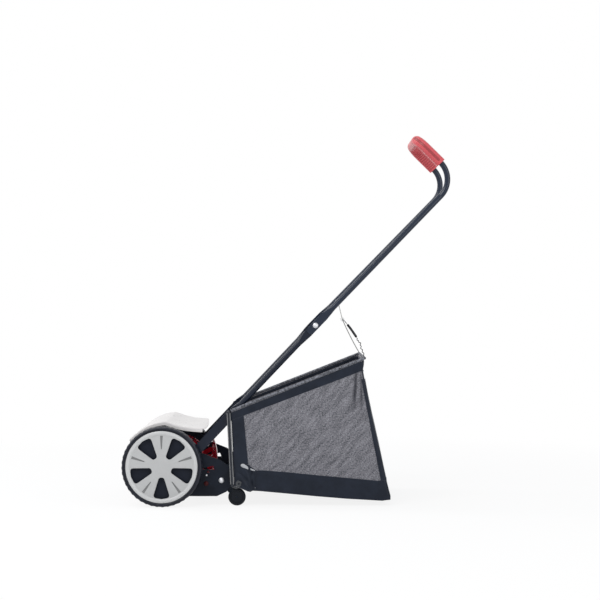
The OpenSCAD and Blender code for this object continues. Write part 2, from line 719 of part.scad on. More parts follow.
// One arm of the upper handle with the radius r, from the swage to the crossbar
module upper_arm(r, start) {
  arm_len = (upper_len - flat_end) / cos(taper);
  along(joint + flat_end * [cos(upper_angle), sin(upper_angle)], lap_mid, upper_angle, taper)
    run(r, start, arm_len);
  for (end = [bend_from, bend_to]) translate([end[0], -top_half, end[1]]) sphere(r = r + kink, $fn = 64);
  translate([bend_mid[0], -top_half, bend_mid[1]]) rotate([90, 0, 0]) rotate([0, 0, upper_angle - 90])
    rotate_extrude(angle = bend_turn, $fn = 96) translate([bend_r, 0]) circle(r = r, $fn = 64);
  along(bend_to, top_half, grip_angle) run(r, 0, grip_len - corner_r);
  grip_corner(r);
  crossbar_half(r);
}
// The bend between an arm and the crossbar, in the plane of the grips
module grip_corner(r) {
  along(bend_to, top_half, grip_angle) translate([grip_len - corner_r, corner_r, 0])
    rotate([0, 0, -90]) rotate_extrude(angle = 90, $fn = 96) translate([corner_r, 0]) circle(r = r, $fn = 64);
}
module crossbar_run(r, half) {
  translate([crossbar[0], half, crossbar[1]]) rotate([90, 0, 0]) cylinder(r = r, h = 2 * half, $fn = 64);
}
// Half of the crossbar, from the corner to the middle
module crossbar_half(r) {
  along(bend_to, top_half, grip_angle) translate([grip_len, corner_r, 0]) rotate([0, 0, 90])
    run(r, 0, top_half - corner_r + eps);
}
module upper_handle() {
  part_frame(black) difference() {
    both_sides() {
      along(joint, lap_mid, upper_angle) {
        flat_disc(-lap_tail + lap_w / 2, lap_w);
        flat_run(-lap_tail + lap_w / 2, flat_end / 2, lap_w);
        swage(flat_end / 2, flat_end, lap_w);
      }
      upper_arm(tube_r, 0);
    }
    both_sides() {
      along(joint, lap_mid, upper_angle) cross_hole(0, bolt_r + fit);
      upper_arm(tube_r - tube_wall, 2);
      along(joint, lap_mid, upper_angle) translate([flat_end + 20, 2, -tube_r - 1])
        cylinder(r = 2, h = tube_r, $fn = 24);
    }
  }
}
module cross_rod() {
  half = lap_mid - (rod_dist - flat_end) * tan(taper) - tube_r - 1.1;
  part_frame(black) rod(cross_rod_at, rod_d / 2, -half, half);
}
// Side grip: a sleeve over the arm and round the corner
module grip_side(side) {
  part_frame(grip_red) on_side(side) difference() {
    union() {
      along(bend_to, top_half, grip_angle) run(grip_d / 2, grip_from, grip_len - corner_r);
      grip_corner(grip_d / 2);
    }
    along(bend_to, top_half, grip_angle) run(tube_r + fit, 0, grip_len - corner_r);
    grip_corner(tube_r + fit);
  }
}
module grip_cross() {
  half = top_half - corner_r - gap;
  part_frame(grip_red) difference() {
    crossbar_run(grip_d / 2, half);
    crossbar_run(tube_r + fit, half + 1);
  }
}

// ---- Catcher ----

module catcher_rim() {
  r = rim_d / 2;
  y = bag_half - 0.4;
  slope = atan2(rim_rear[1] - rim_front[1], rim_rear[0] - rim_front[0]);
  part_frame(black) {
    both_sides() {
      along(rim_front, y, slope) run(r, 0, norm(rim_rear - rim_front));
      translate([rim_rear[0], -y, rim_rear[1]]) sphere(r = r + kink, $fn = 48);
    }
    rod(rim_rear, r, -y, y);
  }
}
module mouth_posts() {
  lean = atan2(post_top[1] - post_low[1], post_top[0] - post_low[0]);
  part_frame(black) both_sides() along(post_low, post_y, lean) {
    run(post_d / 2, 0, norm(post_top - post_low));
    for (end = [0, norm(post_top - post_low)]) translate([end, 0, 0]) sphere(r = post_d / 2 + kink, $fn = 48);
  }
}
module mouth_bar() {
  part_frame(black) rod(bar_at, bar_d / 2, -panel_in + 0.2, panel_in - 0.2);
}
module catcher_hooks() {
  y0 = bag_half + 0.2;
  part_frame(cord_pale) both_sides() slab(y0, 2.5) difference() {
    polygon(rounded([[221, -51], [226, -65], [236, -61], [240, -49], [228, -43]], 2.5));
    translate([231, -54]) circle(r = 3, $fn = 32);
  }
}
module bag_side_outline() {
  slope = unit(rim_rear - rim_front);
  down = (rim_d / 2 + 0.2) * [slope[1], -slope[0]];
  lean = unit(post_top - post_low);
  behind = (post_d / 2 + 0.2) * [lean[1], -lean[0]];
  polygon(concat([post_top + behind + [0.4, -8], post_low + behind + [0, -3]],
    side_edge, [rim_rear + down, rim_front + down + [3, 1.2]]));
}
module bag_side(side) {
  part_frame(fabric) on_side(side) slab(panel_in, bag_t) bag_side_outline();
}
// The band of width bag_t along the inside of an edge of the side outline
module edge_band(points) {
  inner = [for (i = [0:len(points) - 1]) let (d = unit(points[min(len(points) - 1, i + 1)] - points[max(0, i - 1)]))
    points[i] + bag_t * [-d[1], d[0]]];
  polygon(concat(points, backwards(inner)));
}
module bag_floor() {
  half = panel_in - 0.1;
  part_frame(fabric) {
    slab(-half, 2 * half) edge_band([for (i = [1:4]) side_edge[i]]);
    slab(-cheek_in + 2, 2 * cheek_in - 4) edge_band([[224, -63], side_edge[0] + [0, 3], side_edge[1] + [1, 0]]);
  }
}
module bag_back() {
  half = panel_in - 0.1;
  top = rim_rear + [-2, -rim_d / 2 - 0.3];
  part_frame(fabric) slab(-half, 2 * half)
    edge_band(concat([side_edge[4] + [-0.5, 3.2]], [for (i = [5:8]) side_edge[i]], [top]));
}
module lift_cord() {
  part_frame(cord_pale) swept(lift_route, cord_d / 2);
}
module lift_spring() {
  hook = spring_route[0] - lift_ring;
  part_frame(black) {
    swept([lift_ring + 2.2 * unit(hook), lift_ring + hook / 2, spring_route[0] + 2 * unit(hook)], 1);
    swept(spring_route, 3.75);
  }
}
module lift_wire() {
  part_frame(black) swept(wire_route, 1);
}

side_plate(-1);  // side_plate_left
side_plate(1);  // side_plate_right
deck_cover();
cover_screws();
front_tie_rod();
rear_tie_rod();
tie_rod_bolts();
stub_axles();
wheel_nuts();
reel_bearings();
bedknife_pivots();
roller_pivot_bolts();
handle_pivot_bolts();
handle_pivot_nuts();
handle_stop_studs();
bedknife_bar();
bedknife_blade();
bedknife_screws();
reel_shaft();
reel_spiders();
reel_blades();
reel_pawls();
reel_clips();
drive_pinion(-1);  // drive_pinion_left
drive_pinion(1);  // drive_pinion_right
wheel_rim(-1);  // wheel_rim_left
wheel_rim(1);  // wheel_rim_right
wheel_bush(-1);  // wheel_bush_left
wheel_bush(1);  // wheel_bush_right
tyre(-1);  // tyre_left
tyre(1);  // tyre_right
hubcap(-1);  // hubcap_left
hubcap(1);  // hubcap_right
roller_bracket(-1);  // roller_bracket_left
roller_bracket(1);  // roller_bracket_right
roller_axle();
roller_index_pins();
support_roller(-1);  // support_roller_left
support_roller(1);  // support_roller_right
lower_handle(-1);  // lower_handle_left
lower_handle(1);  // lower_handle_right
fold_bolts();
fold_nuts();
upper_handle();
cross_rod();
grip_side(-1);  // grip_left
grip_side(1);  // grip_right
grip_cross();
catcher_rim();
mouth_posts();
mouth_bar();
catcher_hooks();
bag_side(-1);  // bag_side_left
bag_side(1);  // bag_side_right
bag_floor();
bag_back();
lift_cord();
lift_spring();
lift_wire();
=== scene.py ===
from math import atan2, copysign, cos, exp, pi, radians, sin, sqrt, tan

import bpy
import bmesh
from mathutils import Matrix, Vector, noise


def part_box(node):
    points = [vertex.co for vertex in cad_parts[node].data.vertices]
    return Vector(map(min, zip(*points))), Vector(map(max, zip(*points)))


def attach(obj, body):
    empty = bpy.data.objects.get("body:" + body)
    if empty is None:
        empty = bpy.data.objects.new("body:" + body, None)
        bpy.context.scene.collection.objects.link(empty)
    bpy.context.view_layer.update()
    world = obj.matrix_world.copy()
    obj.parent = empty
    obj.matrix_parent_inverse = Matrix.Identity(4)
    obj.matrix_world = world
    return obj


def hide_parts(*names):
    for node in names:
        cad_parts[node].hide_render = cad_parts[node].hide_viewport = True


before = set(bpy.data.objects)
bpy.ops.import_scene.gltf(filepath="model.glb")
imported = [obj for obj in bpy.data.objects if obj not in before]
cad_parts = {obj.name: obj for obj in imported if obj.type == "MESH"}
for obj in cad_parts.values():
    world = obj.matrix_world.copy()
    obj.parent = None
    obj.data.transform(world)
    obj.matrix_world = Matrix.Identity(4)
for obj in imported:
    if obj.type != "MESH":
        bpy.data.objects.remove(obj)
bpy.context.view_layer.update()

scene = bpy.context.scene
mm = 0.001
fullTurn = 2 * pi
bothSides = ((-1, "left"), (1, "right"))


def clamped(value):
    return max(0.0, min(1.0, value))


def setInputs(tree, node, values):
    for key, value in values.items():
        if isinstance(value, bpy.types.NodeSocket):
            tree.links.new(value, node.inputs[key])
        else:
            node.inputs[key].default_value = value
    return node


def addNode(tree, kind, inputs=(), **settings):
    made = tree.nodes.new(kind)
    for key, value in settings.items():
        setattr(made, key, value)
    return setInputs(tree, made, dict(inputs))


def shaderNode(tree, kind, inputs=(), **settings):
    return addNode(tree, "ShaderNode" + kind, inputs, **settings)


def meshNode(tree, kind, inputs=(), **settings):
    return addNode(tree, "GeometryNode" + kind, inputs, **settings)


def mathNode(tree, operation, *values):
    return shaderNode(tree, "Math", enumerate(values), operation=operation).outputs[0]


def newMaterial(name):
    mat = bpy.data.materials.new(name)
    mat.use_nodes = True
    return mat, mat.node_tree


def newPiece(name, verts, faces, smooth=True, closed=False, edges=()):
    mesh = bpy.data.meshes.new(name)
    mesh.from_pydata([tuple(v) for v in verts], edges, [tuple(f) for f in faces])
    mesh.validate()
    if smooth:
        mesh.polygons.foreach_set("use_smooth", [True] * len(mesh.polygons))
    piece = bpy.data.objects.new(name, mesh)
    scene.collection.objects.link(piece)
    if closed:
        outwards(piece)
    return piece


def outwards(piece):
    work = bmesh.new()
    work.from_mesh(piece.data)
    bmesh.ops.remove_doubles(work, verts=work.verts, dist=1e-6)
    bmesh.ops.recalc_face_normals(work, faces=work.faces)
    work.to_mesh(piece.data)
    work.free()


def bake(piece):
    graph = bpy.context.evaluated_depsgraph_get()
    solid = piece.evaluated_get(graph)
    mesh = bpy.data.meshes.new_from_object(solid, preserve_all_data_layers=True, depsgraph=graph)
    piece.modifiers.clear()
    piece.data = mesh
    return piece


def addModifier(piece, kind, **settings):
    modifier = piece.modifiers.new(kind.lower(), kind)
    for key, value in settings.items():
        setattr(modifier, key, value)
    return modifier


def bevelled(piece, width, degrees, segments=2):
    addModifier(piece, "BEVEL", width=width, segments=segments, limit_method="ANGLE",
                angle_limit=radians(degrees))
    return bake(piece)


def thickened(piece, thickness, edge=0.0, offset=0):
    addModifier(piece, "SOLIDIFY", thickness=thickness, offset=offset)
    return bevelled(piece, edge, 60) if edge else bake(piece)


def smoothByAngle(piece, degrees):
    mesh = piece.data
    mesh.polygons.foreach_set("use_smooth", [True] * len(mesh.polygons))
    work = bmesh.new()
    work.from_mesh(mesh)
    limit = radians(degrees)
    for edge in work.edges:
        edge.smooth = len(edge.link_faces) == 2 and edge.calc_face_angle(0) < limit
    work.to_mesh(mesh)
    work.free()


def finishPiece(piece, body, finishName, nodes=(), smooth=0):
    if smooth:
        smoothByAngle(piece, smooth)
    piece.data.materials.clear()
    piece.data.materials.append(finishes[finishName])
    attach(piece, body)
    if nodes:
        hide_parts(*nodes)
    return piece


studio = {
    "cameraBehind": 0.416,  # distance behind the wheel axle
    "cameraHeight": 0.623,
    "cameraDistance": 4.5,  # from the near wheel's outer face
    "lens": 90,
    "sensor": 36,
    "keyPower": 60,
    "fillPower": 26,
    "rimPower": 30,
    "skyColour": (0.96, 0.98, 1, 1),
    "worldStrength": 0.62,
    "floorHalf": 14,
    "floorColour": (0.86, 0.86, 0.87, 1),
    "floorGlow": 0.86,  # share of the floor that the camera sees as plain white
    "fadeFrom": 0.9,  # distance from the mower at which the floor starts to turn plain white
    "fadeTo": 2.2,
}
white = (1, 1, 1, 1)


def makeCamera():
    data = bpy.data.cameras.new("camera")
    data.lens = studio["lens"]
    data.sensor_width = studio["sensor"]
    data.clip_end = 60
    camera = bpy.data.objects.new("camera", data)
    low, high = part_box("tyre_left")
    camera.location = ((low[0] + high[0]) / 2 + studio["cameraBehind"], low[1] - studio["cameraDistance"],
                       studio["cameraHeight"])
    camera.rotation_euler = (radians(90), 0, 0)
    scene.collection.objects.link(camera)
    scene.camera = camera


def areaLight(name, place, target, size, power):
    data = bpy.data.lights.new(name, "AREA")
    data.shape = "RECTANGLE"
    data.size, data.size_y = size
    data.energy = power
    light = bpy.data.objects.new(name, data)
    light.location = place
    light.rotation_euler = (Vector(target) - Vector(place)).to_track_quat("-Z", "Y").to_euler()
    scene.collection.objects.link(light)


def seenDirectly(tree):
    path = shaderNode(tree, "LightPath").outputs
    seen = mathNode(tree, "MAXIMUM", path["Is Camera Ray"], path["Is Glossy Ray"])
    return mathNode(tree, "MAXIMUM", seen, path["Is Transmission Ray"])


def mixInto(tree, endKind, share, first, second):
    mix = shaderNode(tree, "MixShader", {0: share, 1: first.outputs[0], 2: second.outputs[0]})
    addNode(tree, endKind, {0: mix.outputs[0]})


def makeWorld():
    world = bpy.data.worlds.new("studioWorld")
    scene.world = world
    world.use_nodes = True
    tree = world.node_tree
    tree.nodes.clear()
    soft = shaderNode(tree, "Background", {"Color": studio["skyColour"], "Strength": studio["worldStrength"]})
    plain = shaderNode(tree, "Background", {"Color": white})
    mixInto(tree, "ShaderNodeOutputWorld", seenDirectly(tree), soft, plain)


def makeFloor():
    half = studio["floorHalf"]
    corners = [(-half, -half, 0), (half, -half, 0), (half, half, 0), (-half, half, 0)]
    floor = newPiece("floor", corners, [(0, 1, 2, 3)], smooth=False)
    mat, tree = newMaterial("floorPaper")
    tree.nodes.clear()
    coords = shaderNode(tree, "TexCoord").outputs["Object"]
    away = shaderNode(tree, "VectorMath", {0: coords}, operation="LENGTH").outputs["Value"]
    fade = shaderNode(tree, "MapRange", {"Value": away, "From Min": studio["fadeFrom"],
                                         "From Max": studio["fadeTo"], "To Min": studio["floorGlow"]})
    share = mathNode(tree, "MULTIPLY", seenDirectly(tree), fade.outputs["Result"])
    paper = shaderNode(tree, "BsdfDiffuse", {"Color": studio["floorColour"]})
    glow = shaderNode(tree, "Emission", {"Color": white})
    mixInto(tree, "ShaderNodeOutputMaterial", share, paper, glow)
    floor.data.materials.append(mat)


scene.view_settings.view_transform = "Standard"
makeCamera()
makeWorld()
makeFloor()
areaLight("keyLight", (-1.6, -2.6, 2.9), (0.1, 0, 0.4), (2.2, 1.6), studio["keyPower"])
areaLight("fillLight", (2.6, -2.4, 1.4), (0.1, 0, 0.4), (2.0, 2.0), studio["fillPower"])
areaLight("rimLight", (-2.0, 0.5, 2.5), (0.1, 0, 0.5), (0.7, 2.4), studio["rimPower"])
print("studio made")


finishes = {}


def noiseFac(tree, coords, scale, detail=3, roughness=0.55):
    return shaderNode(tree, "TexNoise", {"Vector": coords, "Scale": scale, "Detail": detail,
                                         "Roughness": roughness}).outputs["Fac"]


def rampNode(tree, value, dark, light, start=0.0, end=1.0):
    ramp = shaderNode(tree, "ValToRGB", {"Fac": value})
    for element, position, colour in zip(ramp.color_ramp.elements, (start, end), (dark, light)):
        element.position, element.color = position, colour
    return ramp.outputs["Color"]


def bumpNode(tree, height, strength, distance, inputs=()):
    bump = shaderNode(tree, "Bump", {"Strength": strength, "Distance": distance, "Height": height})
    return setInputs(tree, bump, dict(inputs)).outputs["Normal"]


def withPaintedShade(tree, paint, colour, **settings):  # painted shade: grooves, ribs and folds are darker towards the bottom
    depth = shaderNode(tree, "Attribute", attribute_name="paintedShade").outputs["Fac"]
    mix = shaderNode(tree, "Mix", {"Factor": depth, 6: paint, 7: colour}, data_type="RGBA", **settings)
    return mix.outputs[2]


def shade(colour, factor):
    return tuple(min(1, c * factor) for c in colour) + (1,)


def finish(name, colour, rough, metal=0.0, coat=0.0, tint=0.12, tintScale=22, grain=0.3, grainScale=320,
           spread=0.06, level=0.25, wave=0.0, paintedShade=0.0):
    mat, tree = newMaterial(name)
    coords = shaderNode(tree, "TexCoord").outputs["Object"]
    paint = rampNode(tree, noiseFac(tree, coords, tintScale, 4), shade(colour, 1 - tint), shade(colour, 1 + tint),
                     0.3, 0.7)
    # painted shade: the colour turns darker where the piece's shade attribute is high
    if paintedShade:
        paint = withPaintedShade(tree, paint, shade(colour, 1 - paintedShade))
    gloss = shaderNode(tree, "MapRange", {
        "Value": noiseFac(tree, coords, tintScale * 2.3, 5), "From Min": 0.3, "From Max": 0.7,
        "To Min": max(0.02, rough - spread), "To Max": min(1, rough + spread)})
    normal = bumpNode(tree, noiseFac(tree, coords, grainScale, 2), grain, 0.1 * mm)
    if wave:
        normal = bumpNode(tree, noiseFac(tree, coords, 14, 2), wave, 2 * mm, {"Normal": normal})
    setInputs(tree, tree.nodes["Principled BSDF"], {
        "Base Color": paint, "Roughness": gloss.outputs["Result"], "Normal": normal, "Metallic": metal,
        "Coat Weight": coat, "Coat Roughness": 0.08, "Specular IOR Level": level})
    finishes[name] = mat


finish("tubePaint", (0.010, 0.017, 0.034), 0.13, level=0.3, grain=0.0, tintScale=9, spread=0.02)
# darker copy of the tube paint: painted shade on the lower handle
finish("shadedTubePaint", (0.006, 0.010, 0.022), 0.2, level=0.24, grain=0.0, tintScale=9, spread=0.03)
finish("platePaint", (0.008, 0.011, 0.018), 0.42, level=0.12, tint=0.3)
finish("coverPaint", (0.66, 0.64, 0.635), 0.32, tint=0.04, wave=0.1, level=0.35, grain=0.1)
finish("zincMetal", (0.66, 0.67, 0.70), 0.5, metal=0.8, tint=0.1, tintScale=90)
finish("gearMetal", (0.36, 0.37, 0.39), 0.4, metal=1.0, tint=0.15, tintScale=60)
finish("boltRed", (0.045, 0.004, 0.005), 0.35, level=0.15)
finish("reelPaint", (0.40, 0.006, 0.018), 0.16, coat=0.5, tint=0.15, level=0.4)
finish("bushNylon", (0.42, 0.43, 0.44), 0.5)
finish("wheelPlastic", (0.010, 0.013, 0.022), 0.5, level=0.14, grainScale=600)
finish("tyreRubber", (0.012, 0.014, 0.022), 0.45, level=0.28, grainScale=520, tint=0.3, spread=0.12)
# painted shade for the hubcap's grooves and dished face
finish("hubPaint", (0.53, 0.535, 0.535), 0.36, metal=0.1, tint=0.03, tintScale=300, grainScale=900, paintedShade=0.62)
finish("rollerPlastic", (0.007, 0.009, 0.013), 0.4, level=0.14)
# painted shade in the grip's ribs and panel
finish("gripRubber", (0.58, 0.085, 0.098), 0.34, tint=0.02, grain=0.15, grainScale=900, level=0.3, spread=0.03,
       paintedShade=0.45)
finish("framePaint", (0.006, 0.009, 0.016), 0.17, level=0.4, grain=0.1)
finish("hookPlastic", (0.06, 0.063, 0.068), 0.42, level=0.2)
finish("springSteel", (0.010, 0.011, 0.015), 0.4, level=0.25)
finish("cordWhite", (0.52, 0.52, 0.50), 0.8, tintScale=700, tint=0.2, grain=1, grainScale=1400)
finish("bagVinyl", (0.012, 0.016, 0.026), 0.42, tint=0.2, tintScale=30, grainScale=700, wave=0.35, level=0.15)
finish("paintedHighlightGrey", (0.17, 0.17, 0.175), 0.3, level=0.4)
finish("tonguePlastic", (0.40, 0.41, 0.43), 0.35)
finish("hemKnit", (0.13, 0.135, 0.155), 0.6, tint=0.9, tintScale=150, level=0.2)
finish("thread", (0.05, 0.056, 0.075), 0.6, tintScale=500, tint=0.2)

weave = {
    "pitch": 1.5 * mm,
    "thread": (0.29, 0.285, 0.315),
    "gap": (0.035, 0.037, 0.046),
    "streakAngle": 50,
    "streakSize": (0.06, 0.0105),  # along and across a streak
    "threadShare": 0.34,
    "speckleShare": 2.1,
    "streakShare": 1.05,
    "foldShade": (0.2, 0.21, 0.25, 1),
}


def makeWeave():
    mat, tree = newMaterial("bagWeave")
    cloth = shaderNode(tree, "UVMap", uv_map="cloth").outputs["UV"]
    parts = shaderNode(tree, "SeparateXYZ", {0: cloth}).outputs
    waves = [mathNode(tree, "SINE", mathNode(tree, "MULTIPLY", parts[axis], fullTurn / weave["pitch"]))
             for axis in ("X", "Y")]
    high = mathNode(tree, "ADD", mathNode(tree, "MULTIPLY", mathNode(tree, "MULTIPLY", *waves), 0.5), 0.5)
    speckle = noiseFac(tree, cloth, 240, 2, 0.7)
    turn = (0, 0, radians(weave["streakAngle"]))
    streakMap = shaderNode(tree, "Mapping", {"Vector": cloth, "Rotation": turn,
                                             "Scale": weave["streakSize"] + (1,)}, vector_type="TEXTURE")
    streaks = noiseFac(tree, streakMap.outputs["Vector"], 1.0, 3, 0.5)
    mixed = mathNode(tree, "MULTIPLY", high, weave["threadShare"])
    for part, share in ((speckle, weave["speckleShare"]), (streaks, weave["streakShare"])):
        change = mathNode(tree, "MULTIPLY", mathNode(tree, "SUBTRACT", part, 0.5), share)
        mixed = mathNode(tree, "ADD", mixed, change)
    paint = rampNode(tree, mathNode(tree, "ADD", mixed, 0.25), weave["gap"] + (1,), weave["thread"] + (1,))
    setInputs(tree, tree.nodes["Principled BSDF"], {
        # painted shade in the folds
        "Base Color": withPaintedShade(tree, paint, weave["foldShade"], blend_type="MULTIPLY"),
        "Normal": bumpNode(tree, high, 0.35, 0.5 * mm), "Roughness": 0.55, "Specular IOR Level": 0.4})
    finishes["bagWeave"] = mat


makeWeave()

nodeFinish = {
    "tubePaint": ["upper_handle", "cross_rod"],
    "shadedTubePaint": ["lower_handle_left", "lower_handle_right"],
    "platePaint": ["side_plate_left", "side_plate_right", "roller_bracket_left", "roller_bracket_right",
                   "front_tie_rod", "rear_tie_rod", "bedknife_bar", "roller_axle"],
    "coverPaint": ["deck_cover"],
    "zincMetal": ["cover_screws", "tie_rod_bolts", "stub_axles", "wheel_nuts", "roller_pivot_bolts",
                  "handle_pivot_bolts", "handle_pivot_nuts", "handle_stop_studs", "bedknife_screws",
                  "reel_pawls", "reel_clips", "roller_index_pins", "fold_bolts", "fold_nuts"],
    "gearMetal": ["drive_pinion_left", "drive_pinion_right", "bedknife_blade", "reel_shaft"],
    "boltRed": ["bedknife_pivots"],
    "reelPaint": ["reel_spiders", "reel_blades"],
    "bushNylon": ["reel_bearings", "wheel_bush_left", "wheel_bush_right"],
    "wheelPlastic": ["wheel_rim_left", "wheel_rim_right"],
    "rollerPlastic": ["support_roller_left", "support_roller_right"],
    "framePaint": ["catcher_rim", "mouth_posts", "mouth_bar"],
    "hookPlastic": ["catcher_hooks"],
}
for finishName, names in nodeFinish.items():
    for name in names:
        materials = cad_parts[name].data.materials
        materials.clear()
        materials.append(finishes[finishName])
print("materials made")


tyreLow, tyreHigh = [Vector(p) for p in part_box("tyre_left")]
axleX = (tyreLow.x + tyreHigh.x) / 2
axleZ = (tyreLow.z + tyreHigh.z) / 2
wheelRadius = (tyreHigh.z - tyreLow.z) / 2
wheelOut, wheelIn = -tyreLow.y, -tyreHigh.y
capLow, capHigh = [Vector(p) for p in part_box("hubcap_left")]
capOut, capIn = -capLow.y, -capHigh.y
capRadius = (capHigh.z - capLow.z) / 2


def spot(x, z, y=0.0):
    return Vector((axleX + x * mm, y * mm, axleZ + z * mm))


def runs(points):  # length of the way from the first point to each
    made = [0.0]
    for a, b in zip(points, points[1:]):
        made.append(made[-1] + (b - a).length)
    return made


def headings(points):
    return [(after - before).normalized()
            for before, after in zip(points[:1] + points[:-1], points[1:] + points[-1:])]


def pointAt(line, lengths, at):
    for a, b, start, end in zip(line, line[1:], lengths, lengths[1:]):
        if at <= end + 1e-9:
            return a.lerp(b, (at - start) / max(1e-9, end - start))
    return line[-1]


def resampled(points, count):
    points = [Vector(p) for p in points]
    lengths = runs(points)
    return [pointAt(points, lengths, lengths[-1] * i / (count - 1)) for i in range(count)]


def densify(points, step):
    made = [points[0]]
    for a, b in zip(points, points[1:]):
        parts = max(1, round((b - a).length / step))
        made += [a.lerp(b, k / parts) for k in range(1, parts + 1)]
    return made


def smoothLine(points, steps):
    made = []
    count = len(points)
    for i in range(count - 1):
        p0, p1, p2, p3 = points[max(0, i - 1)], points[i], points[i + 1], points[min(count - 1, i + 2)]
        for k in range(steps):
            t = k / steps
            made.append(0.5 * (2 * p1 + (p2 - p0) * t + (2 * p0 - 5 * p1 + 4 * p2 - p3) * t * t
                               + (3 * p1 - p0 - 3 * p2 + p3) * t ** 3))
    return made + [points[-1]]


def gridFaces(rows, count, closed=False):
    return [(i * count + k, i * count + (k + 1) % count, (i + 1) * count + (k + 1) % count, (i + 1) * count + k)
            for i in range(rows - 1) for k in range(count if closed else count - 1)]


def endCaps(rows, count):
    return [tuple(range(count - 1, -1, -1)), tuple((rows - 1) * count + k for k in range(count))]


def sweepRings(points, normal, radiusAt, sides):
    verts = []
    for i, (p, run, d) in enumerate(zip(points, runs(points), headings(points))):
        up = (normal - d * normal.dot(d)).normalized()
        across = d.cross(up)
        for k in range(sides):
            a = fullTurn * k / sides
            verts.append(p + (up * cos(a) + across * sin(a)) * radiusAt(i, run, a))
    return verts, gridFaces(len(points), sides, closed=True)


def swept(name, points, normal, radiusAt, sides, capped=True):
    verts, faces = sweepRings(points, Vector(normal), radiusAt, sides)
    return newPiece(name, verts, faces + endCaps(len(points), sides) if capped else faces, closed=True)


def tube(name, points, radius, sides=12, wobble=0.0, normal=(0, 0, 1)):
    def radiusAt(i, s, a):
        return radius + wobble * noise.noise(Vector((s * 60, cos(a), sin(a) * 1.3)))

    piece = swept(name, points, normal, radiusAt, sides)
    smoothByAngle(piece, 50)
    return piece


# cord, ring, spring and wire that hold the bag's rear rim up to the handle's cross rod
lift = {
    "rod": (535.497, 499.373),  # the cross rod's centre
    "rodReach": 4.53 * mm,  # from the rod's centre to the top of the cord
    "ring": (550, 441),
    "ringRadius": 5 * mm,
    "ringWire": 0.9 * mm,
    "end": (610, 201, 330.9),
    "sag": 0.3,
    "cordRadius": 1.5 * mm,
    "strands": 3,
    "strandDepth": 0.09,
    "lay": 4.2 * mm,  # length of one turn of the strands
    "springLine": [(564, -25, 426.5), (571, -46, 417), (578, -67, 407), (585, -89, 396), (592, -110, 385)],
    "springRadius": 3.2 * mm,
    "springWire": 0.6 * mm,
    "springTurns": 62,
    "turnSteps": 14,
    "wireLine": [(592.1, -110.3, 384.8), (594, -130, 377), (601, -150, 369), (602, -170, 357), (607, -190, 344),
                 (610.5, -204, 330.6)],
    "wireRadius": 1.3 * mm,
    "wireWave": 19 * mm,
}


def cordLine():
    rod, ring, end = spot(*lift["rod"]), spot(*lift["ring"]), spot(lift["end"][0], lift["end"][2], lift["end"][1])
    foot = rod + (ring - rod).normalized() * lift["rodReach"]
    points = [foot.lerp(ring, t) for t in (0, 0.25, 0.5, 0.75)]
    points += [ring, ring + Vector((1, 2, -1.4)) * mm]
    for k in range(1, 7):
        points.append(ring.lerp(end, k / 7) - Vector((0, 0, lift["sag"] * k * (7 - k))) * mm)
    return smoothLine(points + [end], 4)


def makeCord():
    line = cordLine()

    def radiusAt(i, s, a):
        return lift["cordRadius"] * (1 + lift["strandDepth"] * sin(lift["strands"] * a
                                                                        + s / lift["lay"] * fullTurn))

    cord = swept("liftCord", densify(line, 1.2 * mm), (0.3, 1, 0.2), radiusAt, 14)
    finishPiece(cord, "catcher", "cordWhite", ["lift_cord"])


def makeRing():
    centre = spot(*lift["ring"])
    points = [centre + Vector((cos(a), 0, sin(a))) * lift["ringRadius"]
              for a in [fullTurn * k / 40 for k in range(40)] + [0.0]]
    ring = swept("liftRing", points, (0, 1, 0), lambda i, s, a: lift["ringWire"], 10, capped=False)
    finishPiece(ring, "catcher", "zincMetal")


def bodyLine(route, step):
    return densify(smoothLine([spot(x, z, y) for x, y, z in route], 6), step)


def makeSpring():
    line = bodyLine(lift["springLine"], 0.8 * mm)
    lengths = runs(line)
    total = lengths[-1]
    steps = lift["springTurns"] * lift["turnSteps"]
    coil = []
    for i in range(steps + 1):
        at = (0.06 + 0.88 * i / steps) * total
        ahead, behind = min(total, at + 0.5 * mm), max(0, at - 0.5 * mm)
        d = (pointAt(line, lengths, ahead) - pointAt(line, lengths, behind)).normalized()
        up = (Vector((0, 0, 1)) - d * d.z).normalized()
        a = fullTurn * lift["springTurns"] * i / steps
        taper = min(1, 0.35 + min(i, steps - i) / 40)
        coil.append(pointAt(line, lengths, at)
                    + (up * cos(a) + d.cross(up) * sin(a)) * lift["springRadius"] * taper)
    hook = [spot(*lift["ring"]).lerp(line[0], k / 6) + Vector((0, 0, 1.5 * mm)) * sin(pi * k / 6)
            for k in range(6)]
    spring = swept("liftSpring", hook + [line[0]] + coil + [line[-1]], (0.2, 0.3, 1),
                   lambda i, s, a: (2 if i < len(hook) else 1) * lift["springWire"], 6, capped=False)
    finishPiece(spring, "catcher", "springSteel", ["lift_spring"])


def makeWire():
    line = bodyLine(lift["wireLine"], 1.5 * mm)
    lengths = runs(line)
    wavy = []
    for p, run in zip(line, lengths):
        ease = min(1, min(run, lengths[-1] - run) / (12 * mm))
        wavy.append(p + Vector((1.4, 0, 0.6)) * mm * sin(run / lift["wireWave"] * fullTurn) * ease)
    wire = tube("liftWire", wavy, lift["wireRadius"], 10, normal=(0, 1, 0))
    finishPiece(wire, "catcher", "springSteel", ["lift_wire"])


makeCord()
makeRing()
makeSpring()
makeWire()
print("cord and spring made")


def roundedLoop(points, radius, steps=6):
    loop = []
    points = [Vector(p) for p in points]
    for before, p, after in zip(points[-1:] + points[:-1], points, points[1:] + points[:1]):
        a, b = (before - p).normalized(), (after - p).normalized()
        reach = min(radius / tan(a.angle(b) / 2), 0.45 * min((before - p).length, (after - p).length))
        for s in range(steps + 1):
            t = s / steps
            loop.append((p + a * reach) * (1 - t) ** 2 + p * 2 * t * (1 - t) + (p + b * reach) * t ** 2)
    return loop


